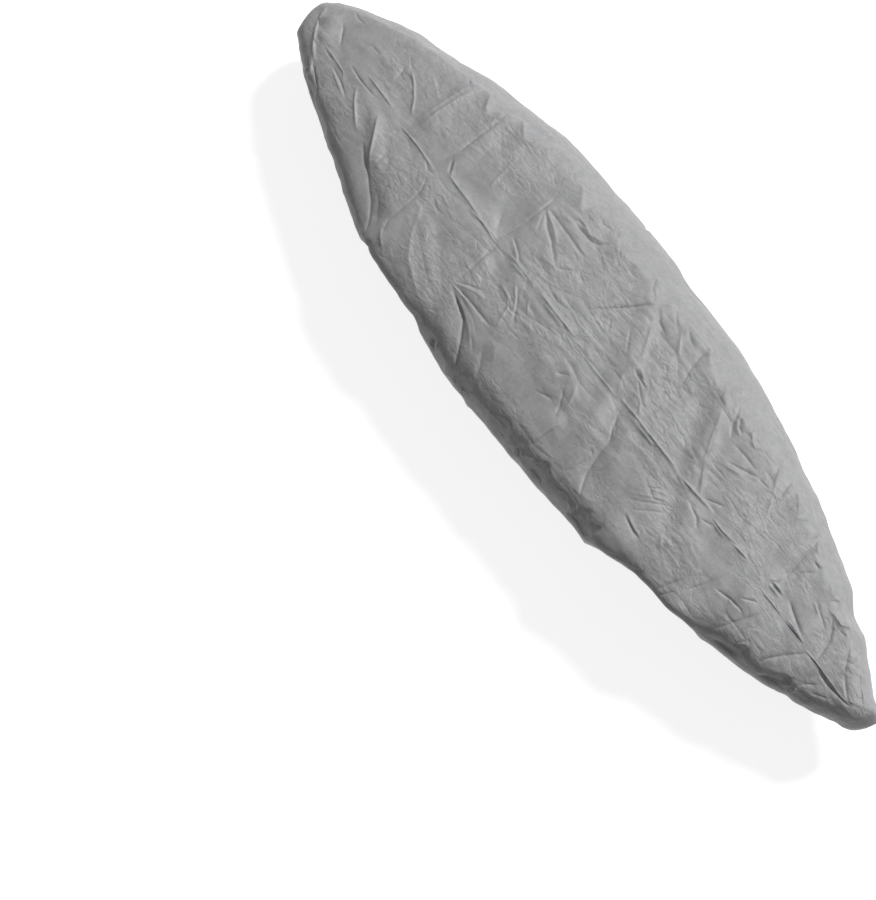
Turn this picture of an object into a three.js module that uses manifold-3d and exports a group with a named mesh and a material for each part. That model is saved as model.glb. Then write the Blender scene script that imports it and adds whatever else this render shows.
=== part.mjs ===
// A fitted cover for a small sit-on kayak, in its worn shape with the deck side up.
// It is one leaf-shaped cloth with a gathered hem, and three buckled webbing straps that cross
// the open underside. Sizes are in millimetres. X runs along the cover with the pointed end at
// +X, Y runs across it, and Z is up, with zero at the lowest point of the straps.

import * as THREE from "three";
import { mergeVertices } from "three/addons/utils/BufferGeometryUtils.js";
import Module from "manifold-3d";

const wasm = await Module();
wasm.setup();

// Driving sizes.
const LENGTH = 3100;
const CLOTH_THICKNESS = 3;
const GAP = 0.3;
const WEBBING_WIDTH = 25;
const WEBBING_THICKNESS = 2;

// The rim is the cover's widest line. share is the share of the length from the blunt end,
// near and far the half widths towards -Y and +Y, rim the rim's height, and ridge the height of
// the cloth along its highest line.
const STATIONS = [
  { share: 0, near: 0, far: 0, rim: 196, ridge: 262 },
  { share: 0.0125, near: 116, far: 69, rim: 196, ridge: 268 },
  { share: 0.025, near: 139, far: 102, rim: 197, ridge: 274 },
  { share: 0.05, near: 175, far: 152, rim: 198, ridge: 284 },
  { share: 0.1, near: 228, far: 232, rim: 200, ridge: 302 },
  { share: 0.15, near: 275, far: 276, rim: 202, ridge: 316 },
  { share: 0.2, near: 322, far: 335, rim: 204, ridge: 327 },
  { share: 0.25, near: 371, far: 365, rim: 206, ridge: 335 },
  { share: 0.3, near: 409, far: 399, rim: 206, ridge: 342 },
  { share: 0.35, near: 419, far: 411, rim: 206, ridge: 347 },
  { share: 0.4, near: 420, far: 416, rim: 206, ridge: 351 },
  { share: 0.45, near: 423, far: 419, rim: 206, ridge: 352 },
  { share: 0.5, near: 417, far: 415, rim: 206, ridge: 353 },
  { share: 0.6, near: 404, far: 400, rim: 208, ridge: 351 },
  { share: 0.65, near: 389, far: 382, rim: 208, ridge: 348 },
  { share: 0.7, near: 395, far: 356, rim: 209, ridge: 343 },
  { share: 0.75, near: 347, far: 313, rim: 209, ridge: 337 },
  { share: 0.8, near: 331, far: 280, rim: 208, ridge: 329 },
  { share: 0.84, near: 274, far: 236, rim: 207, ridge: 322 },
  { share: 0.875, near: 237, far: 202, rim: 207, ridge: 314 },
  { share: 0.9, near: 207, far: 156, rim: 207, ridge: 307 },
  { share: 0.925, near: 173, far: 129, rim: 206, ridge: 300 },
  { share: 0.945, near: 144, far: 96, rim: 205, ridge: 293 },
  { share: 0.96, near: 121, far: 69, rim: 205, ridge: 288 },
  { share: 0.975, near: 99, far: 41, rim: 204, ridge: 282 },
  { share: 0.99, near: 78, far: 23, rim: 204, ridge: 277 },
  { share: 1, near: 0, far: 0, rim: 204, ridge: 272 },
];

// The highest line lies a little towards the near side and stops short of both ends.
const RIDGE_Y = -66;
const RIDGE_INSET = 96;

// The leaf-shaped opening below, edged by the hem. share is the share of the opening's length.
const OPENING_START = -1450;
const OPENING_END = 1310;
const OPENING = [
  { share: 0, half: 0, height: 106 },
  { share: 0.02, half: 46, height: 103 },
  { share: 0.055, half: 84, height: 98 },
  { share: 0.12, half: 126, height: 92 },
  { share: 0.25, half: 190, height: 82 },
  { share: 0.4, half: 252, height: 74 },
  { share: 0.53, half: 280, height: 72 },
  { share: 0.66, half: 244, height: 75 },
  { share: 0.785, half: 172, height: 84 },
  { share: 0.9, half: 116, height: 97 },
  { share: 0.957, half: 80, height: 106 },
  { share: 0.985, half: 46, height: 111 },
  { share: 1, half: 0, height: 114 },
];

// The section from the highest line out to the rim: out is the share of the way out, and up
// the share of the rise from the rim to the highest line. The near side has a flat top and a
// steep wall, and the far side a softer shoulder.
const NEAR_SECTION = [
  { out: 0, up: 1 },
  { out: 0.22, up: 0.985 },
  { out: 0.45, up: 0.95 },
  { out: 0.67, up: 0.89 },
  { out: 0.84, up: 0.8 },
  { out: 0.945, up: 0.6 },
  { out: 0.988, up: 0.3 },
  { out: 1, up: 0 },
];
const FAR_SECTION = [
  { out: 0, up: 1 },
  { out: 0.22, up: 0.985 },
  { out: 0.44, up: 0.955 },
  { out: 0.6, up: 0.915 },
  { out: 0.71, up: 0.84 },
  { out: 0.81, up: 0.66 },
  { out: 0.92, up: 0.36 },
  { out: 1, up: 0 },
];
const SECTION_BLEND = 0.4;

// The section from the rim down and under to the hem: inward is the share of the way in to the
// opening, tucked the same where the near wall is drawn in below a raised edge, and down the
// share of the drop from the rim to the hem.
const UNDER_SECTION = [
  { inward: 0, tucked: 0, down: 0 },
  { inward: 0.015, tucked: 0.1, down: 0.3 },
  { inward: 0.06, tucked: 0.24, down: 0.58 },
  { inward: 0.25, tucked: 0.42, down: 0.8 },
  { inward: 0.6, tucked: 0.66, down: 0.92 },
  { inward: 1, tucked: 1, down: 1 },
];

// Two stretches of the near side where the cloth's widest line stands higher than elsewhere.
const RAISED = [
  { x: -510, reach: 265 },
  { x: 800, reach: 285 },
];
const RAISED_BY = 74;
const RAISED_EASE = 130;

// Mesh density: rings in each part of the section, and the widest step between columns.
const TOP_RINGS = 14;
const UNDER_RINGS = 8;
const WIDEST_TURN = Math.PI / 62;

// Main folds of the top, drawn on the plan: soft ridges where rise is above zero and troughs
// where it is below. reach is how far the fold spreads on each side of its line.
const TOP_FOLDS = [
  { from: [-1460, -62], to: [1440, -70], reach: 30, rise: 2 },
  { from: [-1470, 15], to: [-1375, -110], reach: 55, rise: 9 },
  { from: [-1060, -95], to: [-830, -250], reach: 44, rise: 9 },
  { from: [-980, -215], to: [-600, -390], reach: 60, rise: -10 },
  { from: [-945, 240], to: [-860, -80], reach: 50, rise: 6 },
  { from: [-780, 285], to: [-685, -85], reach: 54, rise: 7 },
  { from: [-690, -60], to: [-650, -310], reach: 50, rise: 5 },
  { from: [-640, -180], to: [-280, -385], reach: 46, rise: 8 },
  { from: [-580, -200], to: [-230, -395], reach: 50, rise: -10 },
  { from: [-540, 165], to: [-230, -215], reach: 75, rise: -7 },
  { from: [-410, 255], to: [-340, -280], reach: 50, rise: 5 },
  { from: [-360, -255], to: [-110, -390], reach: 50, rise: -9 },
  { from: [70, 270], to: [-30, 0], reach: 46, rise: 5 },
  { from: [50, 275], to: [305, -165], reach: 60, rise: 8 },
  { from: [210, 50], to: [505, -375], reach: 66, rise: -9 },
  { from: [230, -230], to: [235, -400], reach: 50, rise: 6 },
  { from: [445, 255], to: [655, -85], reach: 46, rise: 8 },
  { from: [385, 215], to: [590, -85], reach: 56, rise: -6 },
  { from: [590, -65], to: [750, -230], reach: 56, rise: -6 },
  { from: [858, 90], to: [887, -310], reach: 46, rise: 5 },
  { from: [972, 215], to: [1052, -275], reach: 46, rise: 5 },
  { from: [1217, 85], to: [1198, -235], reach: 46, rise: 5 },
  { from: [1327, 80], to: [1308, -180], reach: 44, rise: 5 },
];

// The share of its length in which a fold dies away at each end.
const FOLD_TAPER = 0.3;

// Pockets where a side wall is drawn in between the places that carry it. x is the pocket's
// middle, reach its half length and deep its depth. Side -1 is the near side.
const POCKETS = [
  { side: -1, x: -1250, reach: 120, deep: 8 },
  { side: -1, x: -240, reach: 100, deep: 11 },
  { side: -1, x: -60, reach: 85, deep: 11 },
  { side: -1, x: 130, reach: 90, deep: 9 },
  { side: -1, x: 320, reach: 90, deep: 11 },
  { side: -1, x: 525, reach: 95, deep: 14 },
  { side: -1, x: 1130, reach: 95, deep: 12 },
  { side: -1, x: 1280, reach: 80, deep: 12 },
  { side: 1, x: -1180, reach: 110, deep: 9 },
  { side: 1, x: -860, reach: 120, deep: 10 },
  { side: 1, x: -400, reach: 120, deep: 8 },
  { side: 1, x: 60, reach: 130, deep: 8 },
  { side: 1, x: 560, reach: 120, deep: 9 },
  { side: 1, x: 960, reach: 110, deep: 10 },
  { side: 1, x: 1240, reach: 90, deep: 8 },
];
const POCKET_TOP = 0.62;
const POCKET_BOTTOM = 1.14;

// Gathers: the hem's pleats stand deep and long at both ends, and shallow and short between.
const PLEATS_PER_SIDE = 17;
const PLEAT_DEPTH_ENDS = 17;
const PLEAT_DEPTH_MIDDLE = 8;
const PLEAT_START_ENDS = 1.1;
const PLEAT_START_MIDDLE = 1.55;

// Straps. x is the strap's place along the cover and low the height of its middle. tail_from is
// how far from the middle line the free tail leaves the strap, and tail is the tail's way in
// plan from there, towards the blunt end and the near side.
const STRAPS = [
  { name: "strap_1", x: -760, low: 16, tailFrom: -20, tail: [[-6, -30], [-17, -82], [-27, -132]] },
  { name: "strap_2", x: 30, low: 3.6, tailFrom: 92, tail: [[-10, -22], [-34, -40], [-62, -52]] },
  { name: "strap_3", x: 715, low: 18, tailFrom: -66, tail: [[-11, -20], [-30, -46], [-38, -84]] },
];
const STRAP_BELLY = 1.9;
const SEWN_RINGS = 2;
const HEM_OVERHANG = 3;
const STRAP_STEPS = 14;
const SHORT_VISIBLE = 42;
const DOUBLED_BACK = 26;
const FLAT_MARGIN = 4;
const FLAT_REACH = 60;

// Side-release buckle. Sizes along the strap are measured from the socket's webbing bar.
const BUCKLE = {
  width: 33,
  thick: 10,
  barThick: 3.2,
  socketBar: 3.5,
  socketSlotEnd: 9,
  slotWidth: 27,
  socketEnd: 29,
  cavityStart: 12.5,
  cavityWidth: 25.5,
  cavityHeight: 5.4,
  windowStart: 14.5,
  windowEnd: 22.5,
  baseEnd: 49.5,
  plugSlots: [
    [35, 39.6],
    [43.2, 46.8],
  ],
  clearance: 0.45,
  corner: 3,
};

// How far a layer of webbing lies from the one beside it, and from the middle of a buckle.
const LAYER = WEBBING_THICKNESS + 2 * GAP;
const LANE = BUCKLE.barThick / 2 + WEBBING_THICKNESS / 2 + 0.7;
const BAR_SHIFT = 0.9;

const CLOTH_COLOR = 0x9b9c9e;
const WEBBING_COLOR = 0x17181a;
const BUCKLE_COLOR = 0x1b1c1e;

const lerp = THREE.MathUtils.lerp;
const clamp = THREE.MathUtils.clamp;
const smooth = (f) => THREE.MathUtils.smoothstep(f, 0, 1);

// A smooth curve through a table's rows: a cubic with the slopes of its neighbours.
function along(table, at, key, value) {
  const last = table.length - 2;
  let i = 0;
  while (i < last && at > table[i + 1][key]) i += 1;
  const slope = (j) => {
    const a = table[Math.max(j - 1, 0)];
    const b = table[Math.min(j + 1, table.length - 1)];
    return (b[value] - a[value]) / (b[key] - a[key]);
  };
  const [a, b] = [table[i], table[i + 1]];
  const span = b[key] - a[key];
  const f = clamp((at - a[key]) / span, 0, 1);
  const start = a[value] * (1 + 2 * f) * (1 - f) ** 2 + slope(i) * span * f * (1 - f) ** 2;
  const end = b[value] * f * f * (3 - 2 * f) - slope(i + 1) * span * f * f * (1 - f);
  return start + end;
}

// Tables by share are read by turn, the angle round the outline, so both ends come out round.
const turnOf = (share) => Math.acos(1 - 2 * share);
const shareOf = (turn) => (1 - Math.cos(turn)) / 2;
const byTurn = (table) => table.map((row) => ({ ...row, turn: turnOf(row.share) }));
const stations = byTurn(STATIONS);
const opening = byTurn(OPENING);

// A section's rows, numbered from 0 to 1 so that they can be read smoothly from end to end.
const numbered = (table) => table.map((row, i) => ({ ...row, step: i / (table.length - 1) }));
const nearSection = numbered(NEAR_SECTION);
const farSection = numbered(FAR_SECTION);
const underSection = numbered(UNDER_SECTION);

// The hem's place along the cover below a place on the rim. They are the same at the middle, and
// draw apart towards the ends, where the opening stops short of the cover.
function hemPlace(rimX) {
  const inset = rimX < 0 ? OPENING_START + LENGTH / 2 : OPENING_END - LENGTH / 2;
  return rimX + inset * smooth((Math.abs(rimX) / (LENGTH / 2) - 0.5) / 0.5);
}

// How far the near side's edge is raised at a place along the rim, from 0 to 1.
function raisedShare(rimX, side) {
  if (side > 0) return 0;
  const shares = RAISED.map(({ x, reach }) => smooth((reach - Math.abs(rimX - x)) / RAISED_EASE));
  return Math.max(...shares);
}

// The cloth without its folds, for a turn from 0 at the blunt end to pi at the pointed end, a
// side of -1 or +1, and a run of 0 at the highest line, 1 at the rim and 2 at the hem.
function plainPoint(turn, side, run) {
  const share = shareOf(turn);
  const width = along(stations, turn, "turn", side < 0 ? "near" : "far");
  const rim = new THREE.Vector3(
    LENGTH * (share - 0.5),
    side * width,
    along(stations, turn, "turn", "rim"),
  );
  const raised = raisedShare(rim.x, side);
  rim.z += RAISED_BY * raised;
  if (run <= 1) {
    const farShare = 0.5 + 0.5 * side * smooth(Math.sin(turn) / SECTION_BLEND);
    const [out, up] = ["out", "up"].map((key) =>
      lerp(along(nearSection, run, "step", key), along(farSection, run, "step", key), farShare),
    );
    const ridgeX = (LENGTH - 2 * RIDGE_INSET) * (share - 0.5);
    const ridgeHeight = along(stations, turn, "turn", "ridge");
    return new THREE.Vector3(
      lerp(ridgeX, rim.x, out),
      lerp(RIDGE_Y, rim.y, out),
      lerp(rim.z, ridgeHeight, up),
    );
  }
  const [straight, tucked] = ["inward", "tucked"].map((key) =>
    along(underSection, run - 1, "step", key),
  );
  const inward = lerp(straight, tucked, raised);
  const down = along(underSection, run - 1, "step", "down");
  const hemX = hemPlace(rim.x);
  const hemTurn = turnOf(clamp((hemX - OPENING_START) / (OPENING_END - OPENING_START), 0, 1));
  const hem = new THREE.Vector3(
    hemX,
    side * along(opening, hemTurn, "turn", "half"),
    along(opening, hemTurn, "turn", "height"),
  );
  return new THREE.Vector3(
    lerp(rim.x, hem.x, inward),
    lerp(rim.y, hem.y, inward),
    lerp(rim.z, hem.z, down),
  );
}

// A rounded hump: 1 at distance 0, falling smoothly to 0 at the reach.
const hump = (distance, reach) => {
  if (Math.abs(distance) >= reach) return 0;
  return 0.5 + 0.5 * Math.cos((Math.PI * distance) / reach);
};

// How far one fold lifts the cloth at a place on the plan. A fold dies away towards its ends.
function foldLift(fold, x, y) {
  const [dx, dy] = [fold.to[0] - fold.from[0], fold.to[1] - fold.from[1]];
  const [px, py] = [x - fold.from[0], y - fold.from[1]];
  const f = clamp((px * dx + py * dy) / (dx * dx + dy * dy), 0, 1);
  const taper = smooth(Math.min(f, 1 - f) / FOLD_TAPER);
  return fold.rise * taper * hump(Math.hypot(px - f * dx, py - f * dy), fold.reach);
}

// How free the cloth is to fold near the straps, which hold it flat: 0 at a strap, 1 away.
function slack(x, run) {
  const held = smooth((run - 1.2) / 0.3);
  const nearest = Math.min(...STRAPS.map((strap) => Math.abs(x - strap.x)));
  const free = smooth((nearest - WEBBING_WIDTH / 2 - FLAT_MARGIN) / FLAT_REACH);
  return lerp(1, free, held);
}

// How far the folds lift the cloth off its plain place, out being positive.
function foldRise(point, turn, side, run) {
  let rise = 0;
  if (run <= 1) {
    const fade = 1 - smooth((run - 0.6) / 0.35);
    for (const fold of TOP_FOLDS) rise += fade * foldLift(fold, point.x, point.y);
  }
  const middle = (POCKET_TOP + POCKET_BOTTOM) / 2;
  const height = hump(run - middle, (POCKET_BOTTOM - POCKET_TOP) / 2);
  for (const pocket of POCKETS) {
    if (pocket.side === side) rise -= pocket.deep * height * hump(point.x - pocket.x, pocket.reach);
  }
  const ends = Math.cos(turn) ** 4;
  const start = lerp(PLEAT_START_MIDDLE, PLEAT_START_ENDS, ends);
  const depth = lerp(PLEAT_DEPTH_MIDDLE, PLEAT_DEPTH_ENDS, ends);
  const reach = smooth((run - start) / (2 - start));
  const phase = 2 * PLEATS_PER_SIDE * turn + 0.9 * Math.sin(5 * turn) * side;
  rise += depth * reach * 0.5 * (Math.cos(phase) - 1);
  return rise * slack(point.x, run);
}

// The turns of the columns on one side. Each strap's edges fall on columns, so that the cloth
// between them is flat where the strap is sewn.
function columnTurns() {
  const half = WEBBING_WIDTH / 2 + FLAT_MARGIN;
  const edges = STRAPS.flatMap((strap) => [strap.x - half, strap.x + half]);
  const marks = [0, ...edges.map((x) => turnOf(x / LENGTH + 0.5)), Math.PI];
  const turns = [0];
  for (let i = 1; i < marks.length; i += 1) {
    const steps = Math.ceil((marks[i] - marks[i - 1]) / WIDEST_TURN);
    for (let s = 1; s <= steps; s += 1) turns.push(lerp(marks[i - 1], marks[i], s / steps));
  }
  return turns;
}

// The rings' runs, from the first one off the highest line to the hem.
function ringRuns() {
  const top = Array.from({ length: TOP_RINGS }, (_, i) => (i + 1) / TOP_RINGS);
  const under = Array.from({ length: UNDER_RINGS }, (_, i) => 1 + (i + 1) / UNDER_RINGS);
  return [...top, ...under];
}

// The triangles of one skin, which face outward: a fan of rings round the highest line.
function skinFaces(turns, columns, ringCount) {
  const ridgeIndex = (c) => (c < turns.length ? c : 2 * (turns.length - 1) - c);
  const ringIndex = (r, c) => turns.length + r * columns.length + (c % columns.length);
  const faces = [];
  for (let c = 0; c < columns.length; c += 1) {
    const a = ridgeIndex(c);
    const b = ridgeIndex((c + 1) % columns.length);
    faces.push([a, ringIndex(0, c + 1), ringIndex(0, c)]);
    if (a !== b) faces.push([a, b, ringIndex(0, c + 1)]);
    for (let r = 0; r + 1 < ringCount; r += 1) {
      faces.push([ringIndex(r, c), ringIndex(r + 1, c + 1), ringIndex(r + 1, c)]);
      faces.push([ringIndex(r, c), ringIndex(r, c + 1), ringIndex(r + 1, c + 1)]);
    }
  }
  return faces;
}

// A geometry with an index of triangles, and its vertex normals as vectors.
function indexed(points, faces) {
  const geometry = new THREE.BufferGeometry().setFromPoints(points);
  geometry.setIndex(faces.flat());
  return geometry;
}

function normalsOf(points, faces) {
  const geometry = indexed(points, faces);
  geometry.computeVertexNormals();
  const normals = geometry.getAttribute("normal");
  return points.map((_, i) => new THREE.Vector3().fromBufferAttribute(normals, i));
}

// The cloth as one closed shell: an outer skin with the folds, an inner one a cloth's thickness
// inside it, and a narrow edge that joins them at the hem.
function buildCloth() {
  const turns = columnTurns();
  const runs = ringRuns();
  const far = turns.map((turn) => ({ turn, side: 1 }));
  const near = turns.slice(1, -1).reverse().map((turn) => ({ turn, side: -1 }));
  const columns = [...far, ...near];
  const faces = skinFaces(turns, columns, runs.length);
  const places = [
    ...turns.map((turn) => ({ turn, side: 1, run: 0 })),
    ...runs.flatMap((run) => columns.map((column) => ({ ...column, run }))),
  ];
  const plain = places.map((p) => plainPoint(p.turn, p.side, p.run));
  const plainNormals = normalsOf(plain, faces);
  const outer = plain.map((point, i) => {
    const { turn, side, run } = places[i];
    const rise = foldRise(point, turn, side, run);
    return point.clone().addScaledVector(plainNormals[i], rise);
  });
  const normals = normalsOf(outer, faces);
  const inner = outer.map((p, i) => p.clone().addScaledVector(normals[i], -CLOTH_THICKNESS));
  const count = outer.length;
  const turnedIn = faces.map(([a, b, c]) => [a + count, c + count, b + count]);
  const hemStart = count - columns.length;
  const edge = columns.flatMap((_, c) => {
    const a = hemStart + c;
    const b = hemStart + ((c + 1) % columns.length);
    return [
      [a, b + count, a + count],
      [a, b, b + count],
    ];
  });
  return {
    geometry: indexed([...outer, ...inner], [...faces, ...turnedIn, ...edge]),
    columns,
    inner: (r, c) => inner[turns.length + r * columns.length + c],
    normal: (r, c) => normals[turns.length + r * columns.length + c],
    lastRing: runs.length - 1,
  };
}

// The stops of a strap's sewn strip, which lies against the inside of the cloth: from inside the
// wall out to just past the hem's edge.
function sewnStops(cloth, strap, side) {
  const last = cloth.lastRing;
  const nearest = cloth.columns
    .map((column, index) => ({ ...column, index, x: cloth.inner(last, index).x }))
    .filter((column) => column.side === side)
    .sort((p, q) => Math.abs(p.x - strap.x) - Math.abs(q.x - strap.x))
    .slice(0, 2)
    .sort((p, q) => p.x - q.x);
  const lift = -GAP * 1.3 - WEBBING_THICKNESS / 2;
  const stops = [];
  for (let r = last - SEWN_RINGS; r <= last; r += 1) {
    const [a, b] = nearest.map((column) => cloth.inner(r, column.index));
    const [normalA, normalB] = nearest.map((column) => cloth.normal(r, column.index));
    const across = b.clone().sub(a).normalize();
    const away = normalA.clone().add(normalB);
    away.addScaledVector(across, -away.dot(across)).setLength(lift);
    const f = (strap.x - a.x) / (b.x - a.x);
    stops.push({ at: a.clone().lerp(b, f).add(away), across });
  }
  const [before, hem] = stops.slice(-2);
  const at = hem.at.clone().add(hem.at.clone().sub(before.at).setLength(HEM_OVERHANG));
  return [...stops, { at, across: hem.across }];
}

// A strap's lie across the underside: a belly between its two points at the hem.
function strapCurve(near, far, low) {
  return (y) => {
    const end = y < 0 ? near : far;
    const share = Math.abs(y / end.x);
    return new THREE.Vector2(y, low + (end.y - low) * share ** STRAP_BELLY);
  };
}

// A strip of webbing through a list of stations, each with its middle and its width's direction.
function ribbon(stops) {
  const points = [];
  stops.forEach(({ at, across }, i) => {
    const before = stops[Math.max(i - 1, 0)].at;
    const after = stops[Math.min(i + 1, stops.length - 1)].at;
    const ahead = after.clone().sub(before).normalize();
    const normal = ahead.clone().cross(across).normalize();
    for (const [w, t] of [[-1, -1], [1, -1], [1, 1], [-1, 1]]) {
      points.push(
        at
          .clone()
          .addScaledVector(across, (w * WEBBING_WIDTH) / 2)
          .addScaledVector(normal, (t * WEBBING_THICKNESS) / 2),
      );
    }
  });
  const faces = [];
  for (let i = 0; i + 1 < stops.length; i += 1) {
    for (let j = 0; j < 4; j += 1) {
      const [a, b] = [4 * i + j, 4 * i + ((j + 1) % 4)];
      faces.push([a, b, b + 4], [a, b + 4, a + 4]);
    }
  }
  const end = 4 * (stops.length - 1);
  faces.push([0, 2, 1], [0, 3, 2], [end, end + 1, end + 2], [end, end + 2, end + 3]);
  return indexed(points, faces);
}

// Where a buckle lies: its bar's place and its direction along the strap, in the strap's plane.
function buckleFrame(curve, farEnd) {
  const start = curve(farEnd.x - SHORT_VISIBLE);
  const end = curve(start.x - BUCKLE.baseEnd * 0.97);
  const ahead = end.clone().sub(start).normalize();
  const outward = new THREE.Vector2(ahead.y, -ahead.x).multiplyScalar(-1);
  if (outward.y > 0) outward.multiplyScalar(-1);
  const place = (a, out) =>
    start.clone().addScaledVector(ahead, a).addScaledVector(outward, out);
  return { start, ahead, outward, place };
}

// Half a turn of webbing round a bar whose middle is at a, from the inner to the outer side. Its
// own middle is a little beyond the bar's, so that it clears the bar's corners.
function aroundBar(frame, a, direction) {
  const middle = a + direction * BAR_SHIFT;
  const steps = 6;
  return Array.from({ length: steps + 1 }, (_, i) => {
    const angle = (Math.PI * i) / steps;
    return frame.place(middle + direction * LANE * Math.sin(angle), -LANE * Math.cos(angle));
  });
}

const inPlaneOf = (strap) => (p) => ({
  at: new THREE.Vector3(strap.x, p.x, p.y),
  across: new THREE.Vector3(1, 0, 0),
});

// The short webbing: from inside the hem to the socket's bar, round it and back over itself.
function shortStops(frame, sewn, strap) {
  const bar = BUCKLE.socketBar / 2;
  const path = [
    frame.place(-20, -0.6),
    frame.place(-7, -LANE),
    ...aroundBar(frame, bar, 1),
    frame.place(-7, LANE),
    frame.place(-14, LAYER - 0.2),
    frame.place(-DOUBLED_BACK, LAYER - 0.6),
  ];
  return [...sewn, ...path.map(inPlaneOf(strap))];
}

// The long webbing: from inside the other hem across to the plug's middle bar, round it and back
// along the strap's outer side to where the free tail leaves it.
function longStops(frame, sewn, curve, strap) {
  const [slotA, slotB] = BUCKLE.plugSlots;
  const bar = (slotA[1] + slotB[0]) / 2;
  const from = sewn.at(-1).at.y + 11;
  const to = frame.place(BUCKLE.baseEnd + 22, 0).x;
  const run = Array.from({ length: STRAP_STEPS + 1 }, (_, i) =>
    curve(lerp(from, to, i / STRAP_STEPS)),
  );
  const back = Array.from({ length: STRAP_STEPS + 1 }, (_, i) =>
    layerBelow(curve, lerp(to, strap.tailFrom, i / STRAP_STEPS)),
  );
  const path = [
    ...run,
    frame.place(BUCKLE.baseEnd + 4, -LANE),
    ...aroundBar(frame, bar, -1),
    frame.place(BUCKLE.baseEnd + 4, LANE),
    ...back,
  ];
  return [...sewn, ...path.map(inPlaneOf(strap)), ...tailStops(curve, strap)];
}

// The point of the strap's outer layer at y, one layer below its curve.
function layerBelow(curve, y) {
  const slope = curve(y + 1).sub(curve(y - 1)).normalize();
  return curve(y).add(new THREE.Vector2(slope.y, -slope.x).multiplyScalar(LAYER));
}

// The free tail, which leaves the strap sideways and lies at its level.
function tailStops(curve, strap) {
  const plan = [[0, 0], ...strap.tail].map(([dx, dy]) => {
    const y = strap.tailFrom + dy;
    const p = layerBelow(curve, y);
    return new THREE.Vector3(strap.x + dx, p.x, Math.max(p.y, WEBBING_THICKNESS / 2));
  });
  const line = new THREE.CatmullRomCurve3(plan);
  return Array.from({ length: 9 }, (_, i) => {
    const f = (i + 1) / 9;
    const tangent = line.getTangentAt(f);
    return {
      at: line.getPointAt(f),
      across: new THREE.Vector3(-tangent.y, tangent.x, 0).normalize(),
    };
  });
}

// A closed geometry as a solid for joining and cutting, and back.
function toSolid(geometry) {
  const bare = geometry.clone();
  bare.deleteAttribute("normal");
  bare.deleteAttribute("uv");
  const merged = mergeVertices(bare, 1e-4);
  return new wasm.Manifold(
    new wasm.Mesh({
      numProp: 3,
      vertProperties: merged.getAttribute("position").array,
      triVerts: new Uint32Array(merged.index.array),
    }),
  );
}

function toGeometry(solid) {
  const mesh = solid.getMesh();
  return new THREE.BufferGeometry()
    .setAttribute("position", new THREE.BufferAttribute(mesh.vertProperties, 3))
    .setIndex(new THREE.BufferAttribute(mesh.triVerts, 1));
}

// An outline whose corners are rounded: points in order, each with its corner's radius.
function roundedShape(corners) {
  const shape = new THREE.Shape();
  corners.forEach(([x, y, radius], i) => {
    const point = new THREE.Vector2(x, y);
    const before = new THREE.Vector2(...corners.at(i - 1).slice(0, 2));
    const after = new THREE.Vector2(...corners[(i + 1) % corners.length].slice(0, 2));
    const enter = point.clone().add(before.sub(point).setLength(radius));
    const leave = point.clone().add(after.sub(point).setLength(radius));
    if (i === 0) shape.moveTo(enter.x, enter.y);
    else shape.lineTo(enter.x, enter.y);
    shape.quadraticCurveTo(x, y, leave.x, leave.y);
  });
  return shape;
}

// A plate of even thickness whose middle plane is at zero.
function plate(shape, thickness) {
  const options = { depth: thickness, bevelEnabled: false, curveSegments: 3 };
  return new THREE.ExtrudeGeometry(shape, options).translate(0, 0, -thickness / 2);
}

function boxBetween(x0, x1, width, thickness) {
  return new THREE.BoxGeometry(x1 - x0, width, thickness).translate((x0 + x1) / 2, 0, 0);
}

// A rectangle in plan with rounded corners: r0 at its start along the strap, r1 at its end.
function roundedPanel(x0, x1, width, r0, r1) {
  return roundedShape([
    [x0, -width / 2, r0],
    [x1, -width / 2, r1],
    [x1, width / 2, r1],
    [x0, width / 2, r0],
  ]);
}

const slotHole = (x0, x1) => roundedPanel(x0, x1, BUCKLE.slotWidth, 0.8, 0.8);

// The socket half: a thin frame with the webbing slot, and a hollow body that is open at its
// mouth and at the two side windows.
function socketGeometry() {
  const b = BUCKLE;
  const frame = roundedPanel(0, b.cavityStart, b.width, b.corner, 0.5);
  frame.holes.push(slotHole(b.socketBar, b.socketSlotEnd));
  const body = roundedPanel(b.socketSlotEnd + 0.8, b.socketEnd, b.width, 2, 1);
  const cavity = boxBetween(b.cavityStart, b.socketEnd + 2, b.cavityWidth, b.cavityHeight);
  const windows = boxBetween(b.windowStart, b.windowEnd, b.width + 4, b.cavityHeight);
  const solid = toSolid(plate(frame, b.barThick))
    .add(toSolid(plate(body, b.thick)))
    .subtract(toSolid(cavity))
    .subtract(toSolid(windows));
  return toGeometry(solid);
}

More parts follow.
